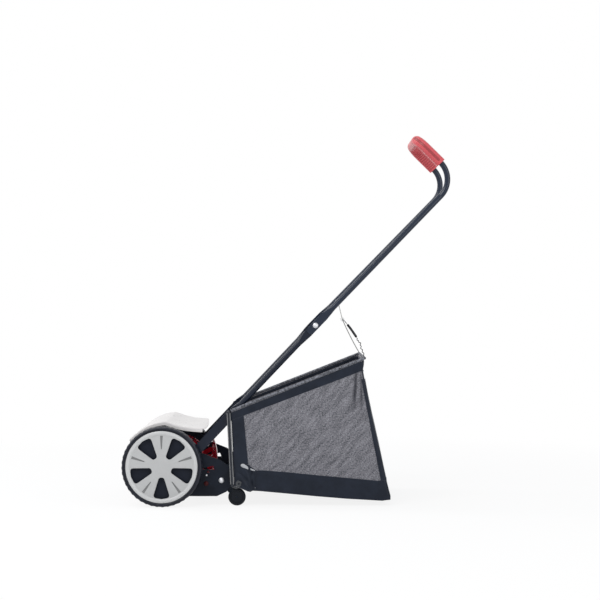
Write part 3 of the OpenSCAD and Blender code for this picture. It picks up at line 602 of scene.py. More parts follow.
def prism(name, loop, depthIn, depthOut, side):
    count = len(loop)
    verts = [(p.x, side * depth, p.y) for depth in (depthIn, depthOut) for p in loop]
    faces = [tuple(range(count)), tuple(range(2 * count - 1, count - 1, -1))]
    faces += [(i, count + i, count + (i + 1) % count, (i + 1) % count) for i in range(count)]
    return newPiece(name, verts, faces, smooth=False, closed=True)


def lathe(name, profile, centre, segments, closed=True):
    verts = []
    for i in range(segments):
        a = fullTurn * i / segments
        verts += [(centre[0] + r * cos(a), y, centre[1] + r * sin(a)) for r, y in profile]
    faces = [tuple(v % len(verts) for v in face) for face in gridFaces(segments + 1, len(profile), closed)]
    return newPiece(name, verts, faces, closed=True)


def cutWith(piece, cutter):
    addModifier(piece, "BOOLEAN", operation="DIFFERENCE", solver="EXACT", object=cutter)
    bake(piece)
    bpy.data.objects.remove(cutter)


def joined(name, parts):
    work = bmesh.new()
    for part in parts:
        work.from_mesh(part.data)
        bpy.data.objects.remove(part)
    mesh = bpy.data.meshes.new(name)
    work.to_mesh(mesh)
    work.free()
    piece = bpy.data.objects.new(name, mesh)
    scene.collection.objects.link(piece)
    return piece


hubcap = {
    "windows": 5,
    "windowInner": 31 * mm,
    "windowOuter": 93.5 * mm,
    "widthInner": 15 * mm,
    "widthOuter": 52 * mm,
    "corner": 10 * mm,
    "grooveFrom": 54 * mm,
    "grooveTo": 94.5 * mm,
    "ringWidth": 11 * mm,
    "dish": 0.45,  # height of the dish's floor, as a share of the cap's depth
    "dishRise": [(60 * mm, 0.5 * mm), (30 * mm, 1.1 * mm)],
    "edge": 0.8 * mm,
    "segments": 160,
}


def turnedLoop(loop, angle):
    c, s = cos(angle), sin(angle)
    return [Vector((axleX + c * p.x - s * p.y, axleZ + s * p.x + c * p.y)) for p in loop]


def markPaintedShade(piece, values):
    piece.data.attributes.new("paintedShade", "FLOAT", "POINT").data.foreach_set("value", values)


def makeHubcap(side, label):
    low, high, r, ring = capIn, capOut, capRadius, hubcap["ringWidth"]
    deep = low + hubcap["dish"] * (high - low)
    profile = [(0, low + 1.4 * mm), (14 * mm, low + 1.4 * mm), (18 * mm, low), (r, low), (r, low + 1.2 * mm)]
    for i in range(7):  # the convex ring round the edge
        a = pi * (0.15 + 0.85 * i / 6)
        profile.append((r - ring / 2 + ring / 2 * cos(a), deep - 0.2 * mm + (high - deep) * sin(a)))
    profile += [(r - ring - 1.2 * mm, deep - 0.5 * mm), (r - ring - 5 * mm, deep)]
    profile += [(p, deep + rise) for p, rise in hubcap["dishRise"]]
    profile += [(14 * mm, high - 0.5 * mm), (0, high - 0.3 * mm)]
    body = lathe("hub", [(p, side * y) for p, y in profile], (axleX, axleZ), hubcap["segments"], closed=False)
    inner, outer = hubcap["windowInner"], hubcap["windowOuter"]
    narrow, wide = hubcap["widthInner"] / 2, hubcap["widthOuter"] / 2
    windowLoop = roundedLoop([(inner, -narrow), (outer - 2 * mm, -wide), (outer + 2.5 * mm, 0),
                              (outer - 2 * mm, wide), (inner, narrow)], hubcap["corner"])
    start, end = hubcap["grooveFrom"], hubcap["grooveTo"]
    grooveLoop = roundedLoop([(start, -1.4 * mm), (end, -4.2 * mm), (end, 4.2 * mm), (start, 1.4 * mm)],
                             1.2 * mm, 4)
    pitch = 360 / hubcap["windows"]
    for loop, first, depth in ((windowLoop, 270, low - 2 * mm), (grooveLoop, 90, low + 0.25 * mm)):
        cutWith(body, joined("cuts", [prism("cut", turnedLoop(loop, radians(first + pitch * k)), depth,
                                            high + 2 * mm, side) for k in range(hubcap["windows"])]))
    body.name = "wheelCover_" + label
    bevelled(body, hubcap["edge"], 35, 3)

    # painted shade: full in the grooves, slight on the dished face, none on the raised ring, which so stands out
    # as a painted highlight
    def hubShadeAt(at):
        away = Vector((at.x - axleX, at.z - axleZ))
        turn = (atan2(away.y, away.x) - radians(90)) % radians(pitch)
        turn = min(turn, radians(pitch) - turn)
        along, across = away.length * cos(turn), away.length * sin(turn)
        if start < along < end + 1 * mm and across < 5 * mm and abs(at.y) < deep - 0.6 * mm:
            return 1.0
        return 0.0 if away.length > r - ring - 1 * mm else 0.24

    markPaintedShade(body, [hubShadeAt(vert.co) for vert in body.data.vertices])
    finishPiece(body, "wheel_" + label, "hubPaint", ["hubcap_" + label], smooth=35)


for side, label in bothSides:
    makeHubcap(side, label)
print("hubcaps made")


def startTree(name, **sockets):
    tree = bpy.data.node_groups.new(name, "GeometryNodeTree")
    for socket, kind in sockets.items():
        tree.interface.new_socket(socket, in_out="INPUT", socket_type="NodeSocket" + kind)
    tree.interface.new_socket("Geometry", in_out="OUTPUT", socket_type="NodeSocketGeometry")
    return tree, tree.nodes.new("NodeGroupInput").outputs


def endTree(tree, start, points, instance, **placing):
    place = meshNode(tree, "InstanceOnPoints", {"Points": points, "Instance": instance, **placing})
    real = meshNode(tree, "RealizeInstances", {"Geometry": place.outputs["Instances"]})
    paint = meshNode(tree, "SetMaterial", {"Geometry": real.outputs["Geometry"], "Material": start["Finish"]})
    addNode(tree, "NodeGroupOutput", {"Geometry": paint.outputs["Geometry"]})
    return tree


def runTree(tree, name, inputs):
    piece = newPiece(name, [(0, 0, 0)], [], smooth=False)
    modifier = piece.modifiers.new("nodes", "NODES")
    modifier.node_group = tree
    for item in tree.interface.items_tree:
        if item.item_type == "SOCKET" and item.in_out == "INPUT" and item.name in inputs:
            modifier[item.identifier] = inputs[item.name]
    return bake(piece)


tyre = {
    "lugs": 44,
    "lugHeight": 0.9 * mm,
    "lugLength": 10.5 * mm,
    "lugSlant": 0.16,
    "lugEnds": [(0, 4.2, 0.9), (1.6, 1.4, 0.9), (5, 0.3, 0.86)],  # in from the end, drop, share of the length
    "thickness": 11 * mm,
    "shoulder": [(-8.4, 1.6), (-7.4, 1.5), (-6.4, 0), (-5, 0), (-3.2, 1), (-1.7, 3), (-1.1, 7)],
    "treadMiddle": -0.8 * mm,
    "segments": 132,
}


def lugTree():
    tree, start = startTree("tyreLugs", Lug="Object", Count="Int", Radius="Float", Finish="Material")
    circle = meshNode(tree, "MeshCircle", {"Vertices": start["Count"], "Radius": start["Radius"]})
    index = meshNode(tree, "InputIndex").outputs[0]
    turn = mathNode(tree, "MULTIPLY", mathNode(tree, "DIVIDE", index, start["Count"]), fullTurn)
    spin = shaderNode(tree, "CombineXYZ", {"Z": turn})
    lug = meshNode(tree, "ObjectInfo", {"Object": start["Lug"]})
    return endTree(tree, start, circle.outputs["Mesh"], lug.outputs["Geometry"], Rotation=spin.outputs["Vector"])


def makeLug(width):
    half, reach, high = tyre["lugLength"] / 2, width / 2, tyre["lugHeight"]
    ends = [(reach - back * mm, drop * mm, narrow) for back, drop, narrow in tyre["lugEnds"]]
    ends.append((0.12 * reach, 0, 0.82))
    verts = []
    for y, drop, narrow in [(-y, drop, narrow) for y, drop, narrow in ends] + ends[::-1]:
        edge = [(-high - 1.2 * mm - drop, 1), (-drop - 0.4 * mm, 0.86), (-drop, 0.6)]
        edge = [(z, -share) for z, share in edge] + edge[::-1]
        verts += [(z, half * narrow * share + tyre["lugSlant"] * abs(y), y) for z, share in edge]
    rows = 2 * len(ends)
    around = len(verts) // rows
    return newPiece("lug", verts, gridFaces(rows, around, closed=True) + endCaps(rows, around), smooth=False,
                    closed=True)


def makeTyre(side, label):
    r = wheelRadius
    mid, half = (wheelIn + wheelOut) / 2, (wheelOut - wheelIn) / 2
    seat = r - tyre["thickness"] + 0.1 * mm
    profile = [(seat, -half + 1 * mm), (seat + 2 * mm, -half)]
    for x, y in tyre["shoulder"]:
        profile.append((r + x * mm, -half + y * mm))
    profile += [(r + tyre["treadMiddle"], 0)] + [(p, -y) for p, y in reversed(profile)]
    carcass = lathe("carcass", [(p, side * (mid + y)) for p, y in profile], (axleX, axleZ), tyre["segments"])
    lug = makeLug(2 * half - 1.6 * mm)
    ring = runTree(lugTree(), "lugRing", {"Lug": lug, "Count": tyre["lugs"], "Radius": r,
                                          "Finish": finishes["tyreRubber"]})
    bpy.data.objects.remove(lug)
    ring.data.transform(Matrix.Translation((axleX, side * mid, axleZ)) @ Matrix.Rotation(radians(90), 4, "X"))
    piece = joined("tyreTread_" + label, [carcass, ring])
    finishPiece(piece, "wheel_" + label, "tyreRubber", ["tyre_" + label], smooth=40)


for side, label in bothSides:
    makeTyre(side, label)
print("tyres made")


coverSheet = {
    "front": [(-118, 59), (-92, 93), (-45, 132), (8, 132)],  # curve of the sheet, from the axle
    "rear": [(8, 132), (30, 126), (46, 113), (128, 111)],
    "start": 0.18,
    "steps": 22,
    "sideGap": 0.6 * mm,  # keeps the sheet clear of the handle when it swings
    "thickness": 1.3 * mm,
    "lip": 10.5 * mm,
    "fold": 2.6 * mm,
    "edgeRound": 0.35 * mm,
    "edge": (127.6, -7.5, -5.8),  # its rear edge, in powers of the share of the half width
    "bowFrom": 24,  # point of the line from which the rear edge's bow grows
    "cornerRound": 9,
}


def bezier(points, t):
    p = [Vector(q) for q in points]
    return p[0] * (1 - t) ** 3 + p[1] * 3 * t * (1 - t) ** 2 + p[2] * 3 * t * t * (1 - t) + p[3] * t ** 3


def coverLine():
    start, steps = coverSheet["start"], coverSheet["steps"]
    line = [bezier(coverSheet["front"], start + (1 - start) * i / steps) for i in range(steps + 1)]
    return line + [bezier(coverSheet["rear"], i / steps) for i in range(1, steps + 1)]


def makeCover():
    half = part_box("deck_cover")[1][1] - coverSheet["sideGap"]
    line, steps, bowFrom = coverLine(), coverSheet["steps"], coverSheet["bowFrom"]
    fold, lip, corner = coverSheet["fold"], coverSheet["lip"], coverSheet["cornerRound"]
    across = [(-half, -lip), (-half, -0.8 * lip), (-half, -0.5 * lip), (-half, -fold)]
    across += [(-half + fold * (1 - cos(a)), -fold + fold * sin(a)) for a in (0.4, 0.8, 1.2)]
    across += [(-half + fold + (half - fold) * i / steps, 0) for i in range(steps + 1)]
    across += [(-y, z) for y, z in reversed(across[:-1])]
    verts = []
    level, slope, curve = coverSheet["edge"]
    last, fromX = line[-1].x, line[bowFrom].x
    for i, (p, d) in enumerate(zip(line, headings(line))):
        normal = Vector((-d.y, d.x))
        for y, z in across:
            u = y / half
            at = p * mm + normal * z
            if i > bowFrom:  # the rear edge is bowed, its corners are round
                reach = level + slope * u + curve * u * u
                inCorner = max(0, (abs(y) - z - half) / mm + corner) / corner
                reach -= corner * (1 - sqrt(max(0, 1 - min(1, inCorner) ** 2)))
                at.x += (reach - last) * mm * ((p.x - fromX) / (last - fromX)) ** 2
            verts.append((axleX + at.x, y, axleZ + at.y))
    piece = newPiece("coverSheet", verts, gridFaces(len(line), len(across)))
    if piece.data.polygons[len(piece.data.polygons) // 2].normal.z < 0:
        piece.data.flip_normals()
    thickened(piece, coverSheet["thickness"], coverSheet["edgeRound"], offset=-1)
    finishPiece(piece, "chassis", "coverPaint", ["deck_cover"], smooth=40)


makeCover()
print("cover made")


# sleeves of the grips, over the ends of the handle's tubes
grip = {
    "radius": 15.4 * mm,
    "bore": 9.05 * mm,
    "armTop": (848.83, 926.98),  # where the bend of the tube ends
    "armAngle": 135.4,
    "armLength": 99,
    "topHalf": 122,
    "cornerRadius": 38,
    "bendCentre": (796.87, 874.29),
    "bendRadius": 74,
    "wrap": 2.5,  # degrees of the tube's bend inside a sleeve
    "ribPitch": 7.5 * mm,
    "ribHeight": 1.7 * mm,
    "ribReach": 1.25,  # radians to each side
    "ribEnds": (10 * mm, 5 * mm),  # smooth parts at the ends of a sleeve
    "panelEnds": (11 * mm, 12 * mm),
    "panelTaper": 6 * mm,
    "panelReach": 0.34,
    "panel": 1.5 * mm,  # depth of the long panel on a sleeve's outer side
    "endRound": 2.2 * mm,
    "sides": 96,
}


def gripPath(side):
    a = radians(grip["armAngle"])
    along, inwards = Vector((cos(a), 0, sin(a))), Vector((0, -side, 0))
    y, corner = side * grip["topHalf"], grip["cornerRadius"] * mm
    straight = grip["armLength"] * mm - corner
    points = []
    for i in range(6, 0, -1):
        b = a - radians(grip["wrap"]) * i / 6
        points.append(spot(grip["bendCentre"][0] + grip["bendRadius"] * sin(b),
                           grip["bendCentre"][1] - grip["bendRadius"] * cos(b), y))
    low = spot(*grip["armTop"], y)
    points += [low + along * straight * i / 26 for i in range(27)]
    turn = low + along * straight + inwards * corner
    for i in range(1, 17):
        t = pi / 2 * i / 16
        points.append(turn - inwards * corner * cos(t) + along * corner * sin(t))
    return points


def endRound(s, total):
    reach = grip["endRound"]
    short = 1 - clamped(min(s, total - s) / reach)
    return grip["radius"] - reach * (1 - sqrt(1 - short ** 2)) * 0.9


def withEnds(points):  # more rings where the ends are rounded
    d0 = (points[1] - points[0]).normalized()
    d1 = (points[-1] - points[-2]).normalized()
    steps = (0.0, 0.3, 0.9, 1.6, 2.4)
    return ([points[0] + d0 * s * mm for s in steps] + points[1:-1]
            + [points[-1] - d1 * s * mm for s in reversed(steps)])


def ribs(s, total, off):
    if not grip["ribEnds"][0] < s < total - grip["ribEnds"][1]:
        return 0.0
    between = 0.5 - 0.5 * cos(fullTurn * s / grip["ribPitch"])
    return grip["ribHeight"] * clamped((grip["ribReach"] - abs(off)) / 0.25) * between ** 1.6


def panelShare(s, total, off):
    ends = clamped(min(s - grip["panelEnds"][0], total - grip["panelEnds"][1] - s) / grip["panelTaper"])
    wide = grip["panelReach"] * sqrt(1 - (1 - ends) ** 2)
    return clamped((wide - abs(off)) / 0.07)


def angleFrom(a, middle):
    return (a - middle + pi) % fullTurn - pi


def makeSleeve(label, points, ribsAt, panelAt=None):
    points = withEnds(densify(points, 1.75 * mm))
    lengths, sides = runs(points), grip["sides"]
    total = lengths[-1]
    a = radians(grip["armAngle"])
    normal = Vector((cos(a), 0, sin(a))).cross(Vector((0, 1, 0))).normalized()

    def depthAt(s, a):
        depth = ribs(s, total, angleFrom(a, ribsAt))
        if panelAt is not None:
            depth += grip["panel"] * panelShare(s, total, angleFrom(a, panelAt))
        return depth

    outer, faces = sweepRings(points, normal, lambda i, s, a: endRound(s, total) - depthAt(s, a), sides)
    inner, innerFaces = sweepRings(points, normal, lambda i, s, a: grip["bore"], sides)
    shift, last = len(outer), len(outer) - sides
    faces += [tuple(shift + k for k in reversed(f)) for f in innerFaces]
    for k in range(sides):
        m = (k + 1) % sides
        faces += [(k, shift + k, shift + m, m), (last + k, last + m, shift + last + m, shift + last + k)]
    piece = newPiece("gripSleeve_" + label, outer + inner, faces)
    # painted shade in the ribs' hollows and along the long panel
    shadeShares = [clamped(depthAt(s, fullTurn * k / sides) / grip["panel"]) for s in lengths for k in range(sides)]
    markPaintedShade(piece, shadeShares + [0.0] * len(inner))
    outwards(piece)
    finishPiece(piece, "upper_handle", "gripRubber", ["grip_" + label], smooth=50)


def makeGrips():
    for side, label in bothSides:
        makeSleeve(label, gripPath(side), side * pi / 2, -side * pi / 2)
    low, high = [Vector(p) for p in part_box("grip_cross")]
    middle, half = (low + high) / 2, (high.y - low.y) / 2
    makeSleeve("cross", [Vector((middle.x, y, middle.z)) for y in (-half, half)], -pi / 2)


makeGrips()
print("grips made")


# grass bag: walls of woven mesh on a wire rim, edged with bands of vinyl
bag = {
    "halfWidth": 210.75,
    "corner": 10,
    "front": [(-62, 217), (-20, 215.5), (60, 212), (166, 206.5)],  # height, distance behind the axle
    "back": [(-100.5, 689), (-92, 690), (-74, 685), (-46, 678), (31, 661), (94, 646), (156, 632), (216, 620),
             (270, 610), (292, 606), (304, 608.5), (325, 610)],
    "backReach": (-100.5, 322),
    "bottom": [(217, -62), (240, -71), (262, -79.5), (274, -74), (300, -75.5), (345, -79.5), (473, -91),
               (560, -98), (675, -104.5), (691, -102)],
    "bottomReach": (217, 689),
    "top": [(206, 163), (612, 322)],
    "topReach": (206.5, 610),
    "sideLength": 430,  # about, for the steps of wallCoords
    "backBow": 5,
    "backWaves": [(-150, 7, 2.2), (-96, 9, -1.6), (60, 9, 1.8), (142, 7, -2.2)],  # place, half width, height
    "pillow": 3.2,
    "meshThickness": 0.8 * mm,
    "bandThickness": 0.7 * mm,
    "bandEdge": 0.3 * mm,
    "bandLift": 0.8,
    "stitchPitch": 3.6 * mm,
    "stitchLength": 2.6 * mm,
    "threadThickness": 0.7 * mm,
    "rimFront": (206, 166.5),
    "rimRear": (612, 325),
    "rimHalf": 211.6,
    "hemRadius": 4.0 * mm,
    "pipingRadius": 1.7 * mm,
    "bottomPipingRadius": 2.1 * mm,
    "floorReach": (224, 689),
    "floorHalf": 209.4,
    "floorThickness": 1.4 * mm,
}

folds = [  # from, to, half width, height; one row for each fold of the cloth
    ((588, 282), (577, 172), 5.5, -5.0), ((596, 284), (588, 150), 5.0, 4.5), ((601, 284), (601, 165), 4.0, -4.0),
    ((579, 276), (566, 190), 6.0, 3.0), ((606, 270), (618, 150), 5.0, 3.0), ((262, 2), (276, -66), 3.6, 3.4),
    ((272, -6), (268, -72), 3.2, -3.6), ((252, -8), (266, -70), 4.0, 2.6), ((284, -14), (278, -70), 3.4, 2.8),
    ((230, -20), (262, -52), 4.5, -2.8), ((238, -34), (258, -72), 3.4, 2.6), ((640, -96), (672, -52), 7.0, 2.0),
    ((300, -20), (430, -60), 16, 1.2), ((430, -70), (650, -66), 18, 1.4),
]


def bagSpot(x, z, y=0.0):
    return spot(x, z + 1, y)


def table(points, at):
    points = sorted(points)
    if at <= points[0][0]:
        return points[0][1]
    for (a, p), (b, q) in zip(points, points[1:]):
        if at <= b:
            return p + (q - p) * (at - a) / (b - a)
    return points[-1][1]


def partWay(reach, share):
    return reach[0] * (1 - share) + reach[1] * share


def wallPlace(s, t):
    z = partWay([table(bag[edge], partWay(bag[edge + "Reach"], s)) for edge in ("bottom", "top")], t)
    backX = table(bag["back"], partWay(bag["backReach"], t)) - bag["corner"]
    return partWay((table(bag["front"], z), backX), s), z


def wallCoords(x, z):  # the inverse of wallPlace, by steps
    s, t = 0.5, 0.5
    for _ in range(14):
        px, pz = wallPlace(s, t)
        s += (x - px) / bag["sideLength"]
        t += (z - pz) / (table(bag["top"], px) - table(bag["bottom"], px))
    return s, t


def ridge(x, z, a, b, width, height):
    ab = Vector((b[0] - a[0], b[1] - a[1]))
    ap = Vector((x - a[0], z - a[1]))
    share = ap.dot(ab) / ab.length_squared
    off = (ap - ab * share).length
    return height * clamped((share + 0.15) / 0.3) * clamped((1.15 - share) / 0.5) * exp(-(off / width) ** 2)


def foldSum(x, z, side):
    return sum(ridge(x, z, (a[0] + 1.8 * side, a[1]), (b[0] - 2.4 * side, b[1]), width, height)
               for a, b, width, height in folds)


def sideOffset(x, z, side):
    s = clamped((x - 215) / 420)
    t = clamped((z + 90) / (table(bag["top"], x) + 90))
    calm = clamped((x - 240) / 60) * clamped((0.97 - t) / 0.12)
    shift = 40 * side
    waves = 2.2 * noise.noise(Vector((x / 75, z / 95, shift)))
    waves += 0.7 * noise.noise(Vector((x / 24, z / 30, shift + 7)))
    return (bag["pillow"] * sin(pi * s) * sin(pi * t) ** 1.2 + calm * waves
            + foldSum(x, z, side))


def backOffset(y, z):
    t = clamped((z + 90) / 400)
    out = bag["backBow"] * (1 - (y / 205) ** 2) * sin(pi * min(1, t + 0.12)) ** 0.7
    out += 1.8 * noise.noise(Vector((y / 80, z / 90, 90)))
    for at, width, height in bag["backWaves"]:
        out += height * exp(-((y - at - 0.06 * (z - 300)) / width) ** 2) * clamped((z - 150) / 120)
    return out


# s runs round the bag: 0 to 1 is the left side, 2 to 3 the back, 4 to 5 the right side, with the corners between
def wallPoint(s, t, lift=0.0):
    side, flip = (-1, s) if s <= 2.5 else (1, 5 - s)
    half, corner = bag["halfWidth"], bag["corner"]
    x, z = wallPlace(min(flip, 1), t)
    if flip <= 1:
        fade = min(1, (1 - flip) / 0.03)
        return bagSpot(x, z, side * (half + sideOffset(x, z, side) * fade + lift))
    if flip < 2:
        a, reach = pi / 2 * (flip - 1), corner + lift
        return bagSpot(x + reach * sin(a), z, side * (half - corner + reach * cos(a)))
    y = (half - corner) * (s - 2.5) * 2
    fade = min(1, (1 - abs(s - 2.5) * 2) / 0.05)
    return bagSpot(x + corner + backOffset(y, z) * fade + lift, z, y)


def clothGrid(name, rows, lift=0.0):
    verts = [wallPoint(s, t, lift) for row in rows for s, t in row]
    n = len(rows[0])
    piece = newPiece(name, verts, gridFaces(len(rows), n))
    uv = piece.data.uv_layers.new(name="cloth")
    across = [runs(verts[i * n:(i + 1) * n]) for i in range(len(rows))]
    up = [runs(verts[k::n]) for k in range(n)]
    for loop in piece.data.loops:
        row, column = divmod(loop.vertex_index, n)
        uv.data[loop.index].uv = (across[row][column], up[column][row])
    return piece


def flatArea(piece):
    return sum(p.area for p in piece.data.polygons)


def bagPiece(piece, finishName, nodes=(), smooth=0):
    return finishPiece(piece, "catcher", finishName, nodes, smooth)


def band(name, railA, railB, along, across, layer=1):
    a = resampled(railA, along)
    b = resampled(railB, along)
    rows = [[tuple(p.lerp(q, k / (across - 1))) for p, q in zip(a, b)] for k in range(across)]
    piece = clothGrid(name, rows, bag["bandLift"] * layer)
    return thickened(piece, bag["bandThickness"], bag["bandEdge"])


def otherSide(rail):
    return [(5 - s, t) for s, t in rail]


def wholeWay(rail):
    end = rail[-1][1]
    half = rail + [(s, end) for s in (1.25, 1.5, 1.75, 2, 2.25, 2.5)]
    return half + otherSide(reversed(half[:-1]))


bandEdges = {  # distance behind the axle and height of the bands' edges on a side wall
    "topLow": [(206.5, 137), (245.3, 150.8), (420, 217.5), (592.4, 283), (600, 286)],
    "frontIn": [(259, 5), (252, 80), (245.3, 150.8)],
    "bottomUp": [(283.2, -15.6), (293.5, -13.8), (480, -30.3), (661, -46.4)],
    "seam": [(606.3, 262.4), (620, 170), (637.1, 73.7), (661, -46.4)],
    "gussetUp": [(216, 4), (236, 3), (259, 4), (270, -6), (284, -14)],
    "gussetLow": [(217.5, -60), (240, -69), (262, -78), (270, -75.5), (277, -73)],
}


def makeBands():
    edge = {key: [wallCoords(*p) for p in rail] for key, rail in bandEdges.items()}
    for key in ("topLow", "bottomUp"):
        edge[key][-1] = (1, edge[key][-1][1])
    top = wholeWay([(0, 0.985), (0.5, 0.985), (1, 0.985)])
    low = wholeWay([(wallCoords(276.2, -68.5)[0], 0.0), (0.5, 0.0), (1, 0.0)])
    seams = [wholeWay(edge["topLow"]), wholeWay(edge["bottomUp"])]
    pieces = [band("bagBand_top", top, seams[0], 330, 10), band("bagBand_bottom", low, seams[1], 330, 12),
              band("bagBinding", top, wholeWay([(0, 0.95), (0.5, 0.955), (1, 0.96)]), 330, 4, -1)]
    frontOut = [(0.0, wallCoords(217, 0)[1]), (0.0, 0.9)]
    frontIn = edge["frontIn"] + [(edge["topLow"][1][0] - 0.005, 0.9)]
    backSide = [(2.03, t) for s, t in edge["seam"]]
    for label, way in (("left", list), ("right", otherSide)):
        pieces += [band("bagBand_front_" + label, way(frontOut), way(frontIn), 60, 9, 1.9),
                   band("bagGusset_" + label, way(edge["gussetUp"]), way(edge["gussetLow"]), 44, 36, 2.6),
                   band("bagBand_corner_" + label, way(edge["seam"]), way(backSide), 90, 13, 1.9)]
        seams += [way(frontIn), way(edge["seam"]), way(backSide)]
    return pieces, seams


def stitchTree():
    tree, start = startTree("stitches", Seam="Object", Pitch="Float", Length="Float", Thickness="Float",
                            Finish="Material")
    seam = meshNode(tree, "ObjectInfo", {"Object": start["Seam"]})
    line = meshNode(tree, "MeshToCurve", {"Mesh": seam.outputs["Geometry"]})
    points = meshNode(tree, "CurveToPoints", {"Curve": line.outputs["Curve"],
                                              "Length": start["Pitch"]}, mode="LENGTH").outputs
    thread = meshNode(tree, "MeshCylinder", {"Vertices": 6, "Radius": 0.5, "Depth": 1.0})
    size = shaderNode(tree, "CombineXYZ", {"X": start["Thickness"], "Y": start["Thickness"],
                                           "Z": start["Length"]})
    return endTree(tree, start, points["Points"], thread.outputs["Mesh"], Rotation=points["Rotation"],
                   Scale=size.outputs["Vector"])


def makeStitches(seams):
    verts, edges = [], []
    for seam in seams:
        rail = resampled(seam, max(12, len(seam) * 14))
        for lift in (2.1, -0.7):  # outside and inside of the walls
            edges += [(len(verts) + k, len(verts) + k + 1) for k in range(len(rail) - 1)]
            verts += [wallPoint(p.x, p.y, lift) for p in rail]
    lines = newPiece("seams", verts, [], smooth=False, edges=edges)
    made = runTree(stitchTree(), "bagStitches", {
        "Seam": lines, "Pitch": bag["stitchPitch"], "Length": bag["stitchLength"],
        "Thickness": bag["threadThickness"], "Finish": finishes["thread"]})
    bpy.data.objects.remove(lines)
    return bagPiece(made, "thread")


def mirroredBack(line):
    return line + [Vector((p.x, -p.y, p.z)) for p in reversed(line[:-1])]


def rimLine():
    (frontX, frontZ), (rearX, rearZ) = bag["rimFront"], bag["rimRear"]
    front, rear = bagSpot(frontX, frontZ, -bag["rimHalf"]), bagSpot(rearX, rearZ, -bag["rimHalf"])
    bend = 2.5 * mm
    d = (rear - front).normalized()
    left = [front + d * 1 * mm] + [front.lerp(rear, k / 50) for k in range(1, 50)]
    turn = [rear - d * bend * (1 - sin(a)) + Vector((0, bend * (1 - cos(a)), 0))
            for a in (0, pi / 4, pi / 2)]
    halfBack = [Vector((rear.x, y * mm, rear.z)) for y in range(-204, 0, 8)] + [Vector((rear.x, 0, rear.z))]
    return mirroredBack(left + turn + halfBack)


def makePiping():
    made = []
    for label, way in (("left", 1.5), ("right", 3.5)):
        line = [wallPoint(way, t / 80, 0.8) for t in range(81)]
        made.append(tube("bagPiping_" + label, line, bag["pipingRadius"], 10, normal=(0, 1, 0)))
    places = [0.1 + i / 90 * 0.9 for i in range(91)] + [1.25, 1.5, 1.75, 2] + [2 + i / 30 for i in range(1, 16)]
    line = mirroredBack([wallPoint(s, 0.0, 0.2) for s in places])
    made.append(tube("bagPiping_bottom", line, bag["bottomPipingRadius"], 10))
    return [bagPiece(piece, "bagVinyl") for piece in made]


def floorPoint(share, u):  # u: -1 to 1 across the floor
    x = partWay(bag["floorReach"], share)
    z = table(bag["bottom"], x) + 3 * max(0, (262 - x) / 30)
    y = bag["floorHalf"] * u
    sag = 3.5 * (1 - u * u) * sin(pi * clamped(share))
    sag += 1.6 * noise.noise(Vector((x / 60, y / 70, 33)))
    return bagSpot(x, z + 0.6 - sag * min(1, (1 - abs(u)) / 0.08), y)


def makeWalls():
    columns = [i / 110 for i in range(111)] + [1 + i / 6 for i in range(1, 7)]
    columns += [2 + i / 56 for i in range(1, 56)] + [5 - s for s in reversed(columns)]
    walls = clothGrid("bagMesh", [[(s, t / 84) for s in columns] for t in range(85)])
    area = flatArea(walls)

    # painted shade along the folds' creases
    def foldShadeAt(at):
        if abs(at.y) < (bag["halfWidth"] - bag["corner"]) * mm:
            return 0.0
        return clamped(-foldSum((at.x - axleX) / mm, (at.z - axleZ) / mm - 1, copysign(1, at.y)) / 4)

    markPaintedShade(walls, [foldShadeAt(vert.co) for vert in walls.data.vertices])
    thickened(walls, bag["meshThickness"])
    return bagPiece(walls, "bagWeave", ["bag_side_left", "bag_side_right", "bag_back"]), area


def makeFloorCloth():
    alongSteps, acrossSteps = 60, 54
    verts = [floorPoint(i / alongSteps, 2 * k / acrossSteps - 1) for k in range(acrossSteps + 1)
             for i in range(alongSteps + 1)]
    floor = newPiece("bagFloor", verts, gridFaces(acrossSteps + 1, alongSteps + 1))
    area = flatArea(floor)
    thickened(floor, bag["floorThickness"])
    return bagPiece(floor, "bagVinyl", ["bag_floor"]), area


def makeBag():
    walls, area = makeWalls()
    pieces, seams = makeBands()
    for piece in pieces:
        bagPiece(piece, "bagVinyl", smooth=50)
    stitches = makeStitches(seams)
    hem = bagPiece(tube("bagHem", rimLine(), bag["hemRadius"], 20, 0.3 * mm), "hemKnit")
    piping = makePiping()
    floor, area = makeFloorCloth()


makeBag()


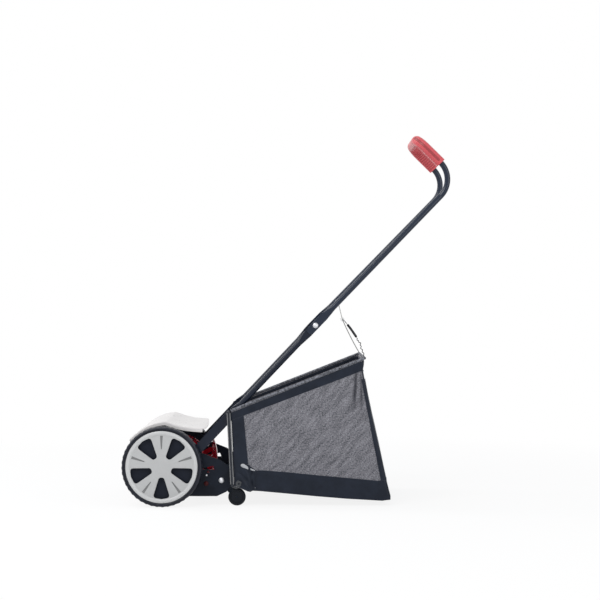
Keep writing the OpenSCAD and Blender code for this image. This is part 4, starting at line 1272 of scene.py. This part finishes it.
# pale tapered piece on each side of the bag's lower front corner
tongue = {
    "line": [(237, 2.5), (243, 1.5), (250, -2), (259, -6.5), (269, -10.5), (281, -14)],
    "halfHeights": [2.6, 5.4, 5.0, 3.4, 2.4, 1.2],
    "halfThickness": 0.3,  # share of the half height
    "outside": 214.4,
}


def makeTongue(side, label):
    line = [Vector((x, z, h)) for (x, z), h in zip(tongue["line"], tongue["halfHeights"])]
    line = smoothLine(line, 6)
    points = [spot(p.x, p.y, side * tongue["outside"]) for p in line]
    piece = swept("strapTongue_" + label, points, (0, 1, 0), lambda i, s, a: line[i].z * mm, 20)
    middle = Matrix.Translation((0, side * tongue["outside"] * mm, 0))
    piece.data.transform(middle @ Matrix.Diagonal((1, tongue["halfThickness"], 1, 1)) @ middle.inverted())
    finishPiece(piece, "catcher", "tonguePlastic", smooth=50)


strapLoop = {
    "outline": [(208, -49), (238, -51), (240, -66), (222, -70), (210, -66)],
    "corner": 3,
    "inside": 205 * mm,
    "outside": 210 * mm,
    "edge": 0.8 * mm,
}


def makeStrapLoop(side, label):
    loop = [Vector(spot(p.x, p.y).xz) for p in roundedLoop(strapLoop["outline"], strapLoop["corner"])]
    piece = prism("strapLoop_" + label, loop, strapLoop["inside"], strapLoop["outside"], side)
    finishPiece(bevelled(piece, strapLoop["edge"], 50), "catcher", "hookPlastic", smooth=50)


# grey strips along the edges of the mouth posts, standing for painted highlights
postHighlightStrip = {
    "behind": (200, 211),  # its top and its bottom, behind the axle
    "height": (160, -55),
    "apart": 4.2,  # before and behind the middle of the post
    "inset": 1.8,
    "radius": 1.5 * mm,
}


def makePostHighlightStrips(side, label):
    reach = -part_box("mouth_posts")[0][1] / mm - postHighlightStrip["inset"]
    for end, way in (("front", -1), ("rear", 1)):
        line = [spot(partWay(postHighlightStrip["behind"], t) + way * postHighlightStrip["apart"], partWay(postHighlightStrip["height"], t),
                     side * reach) for t in [i / 12 for i in range(13)]]
        highlightStrip = tube("postBead_" + end + "_" + label, line, postHighlightStrip["radius"], 12, normal=(0, 1, 0))
        finishPiece(highlightStrip, "catcher", "paintedHighlightGrey")


for side, label in bothSides:
    makeTongue(side, label)
    makeStrapLoop(side, label)
    makePostHighlightStrips(side, label)
print("bag made")
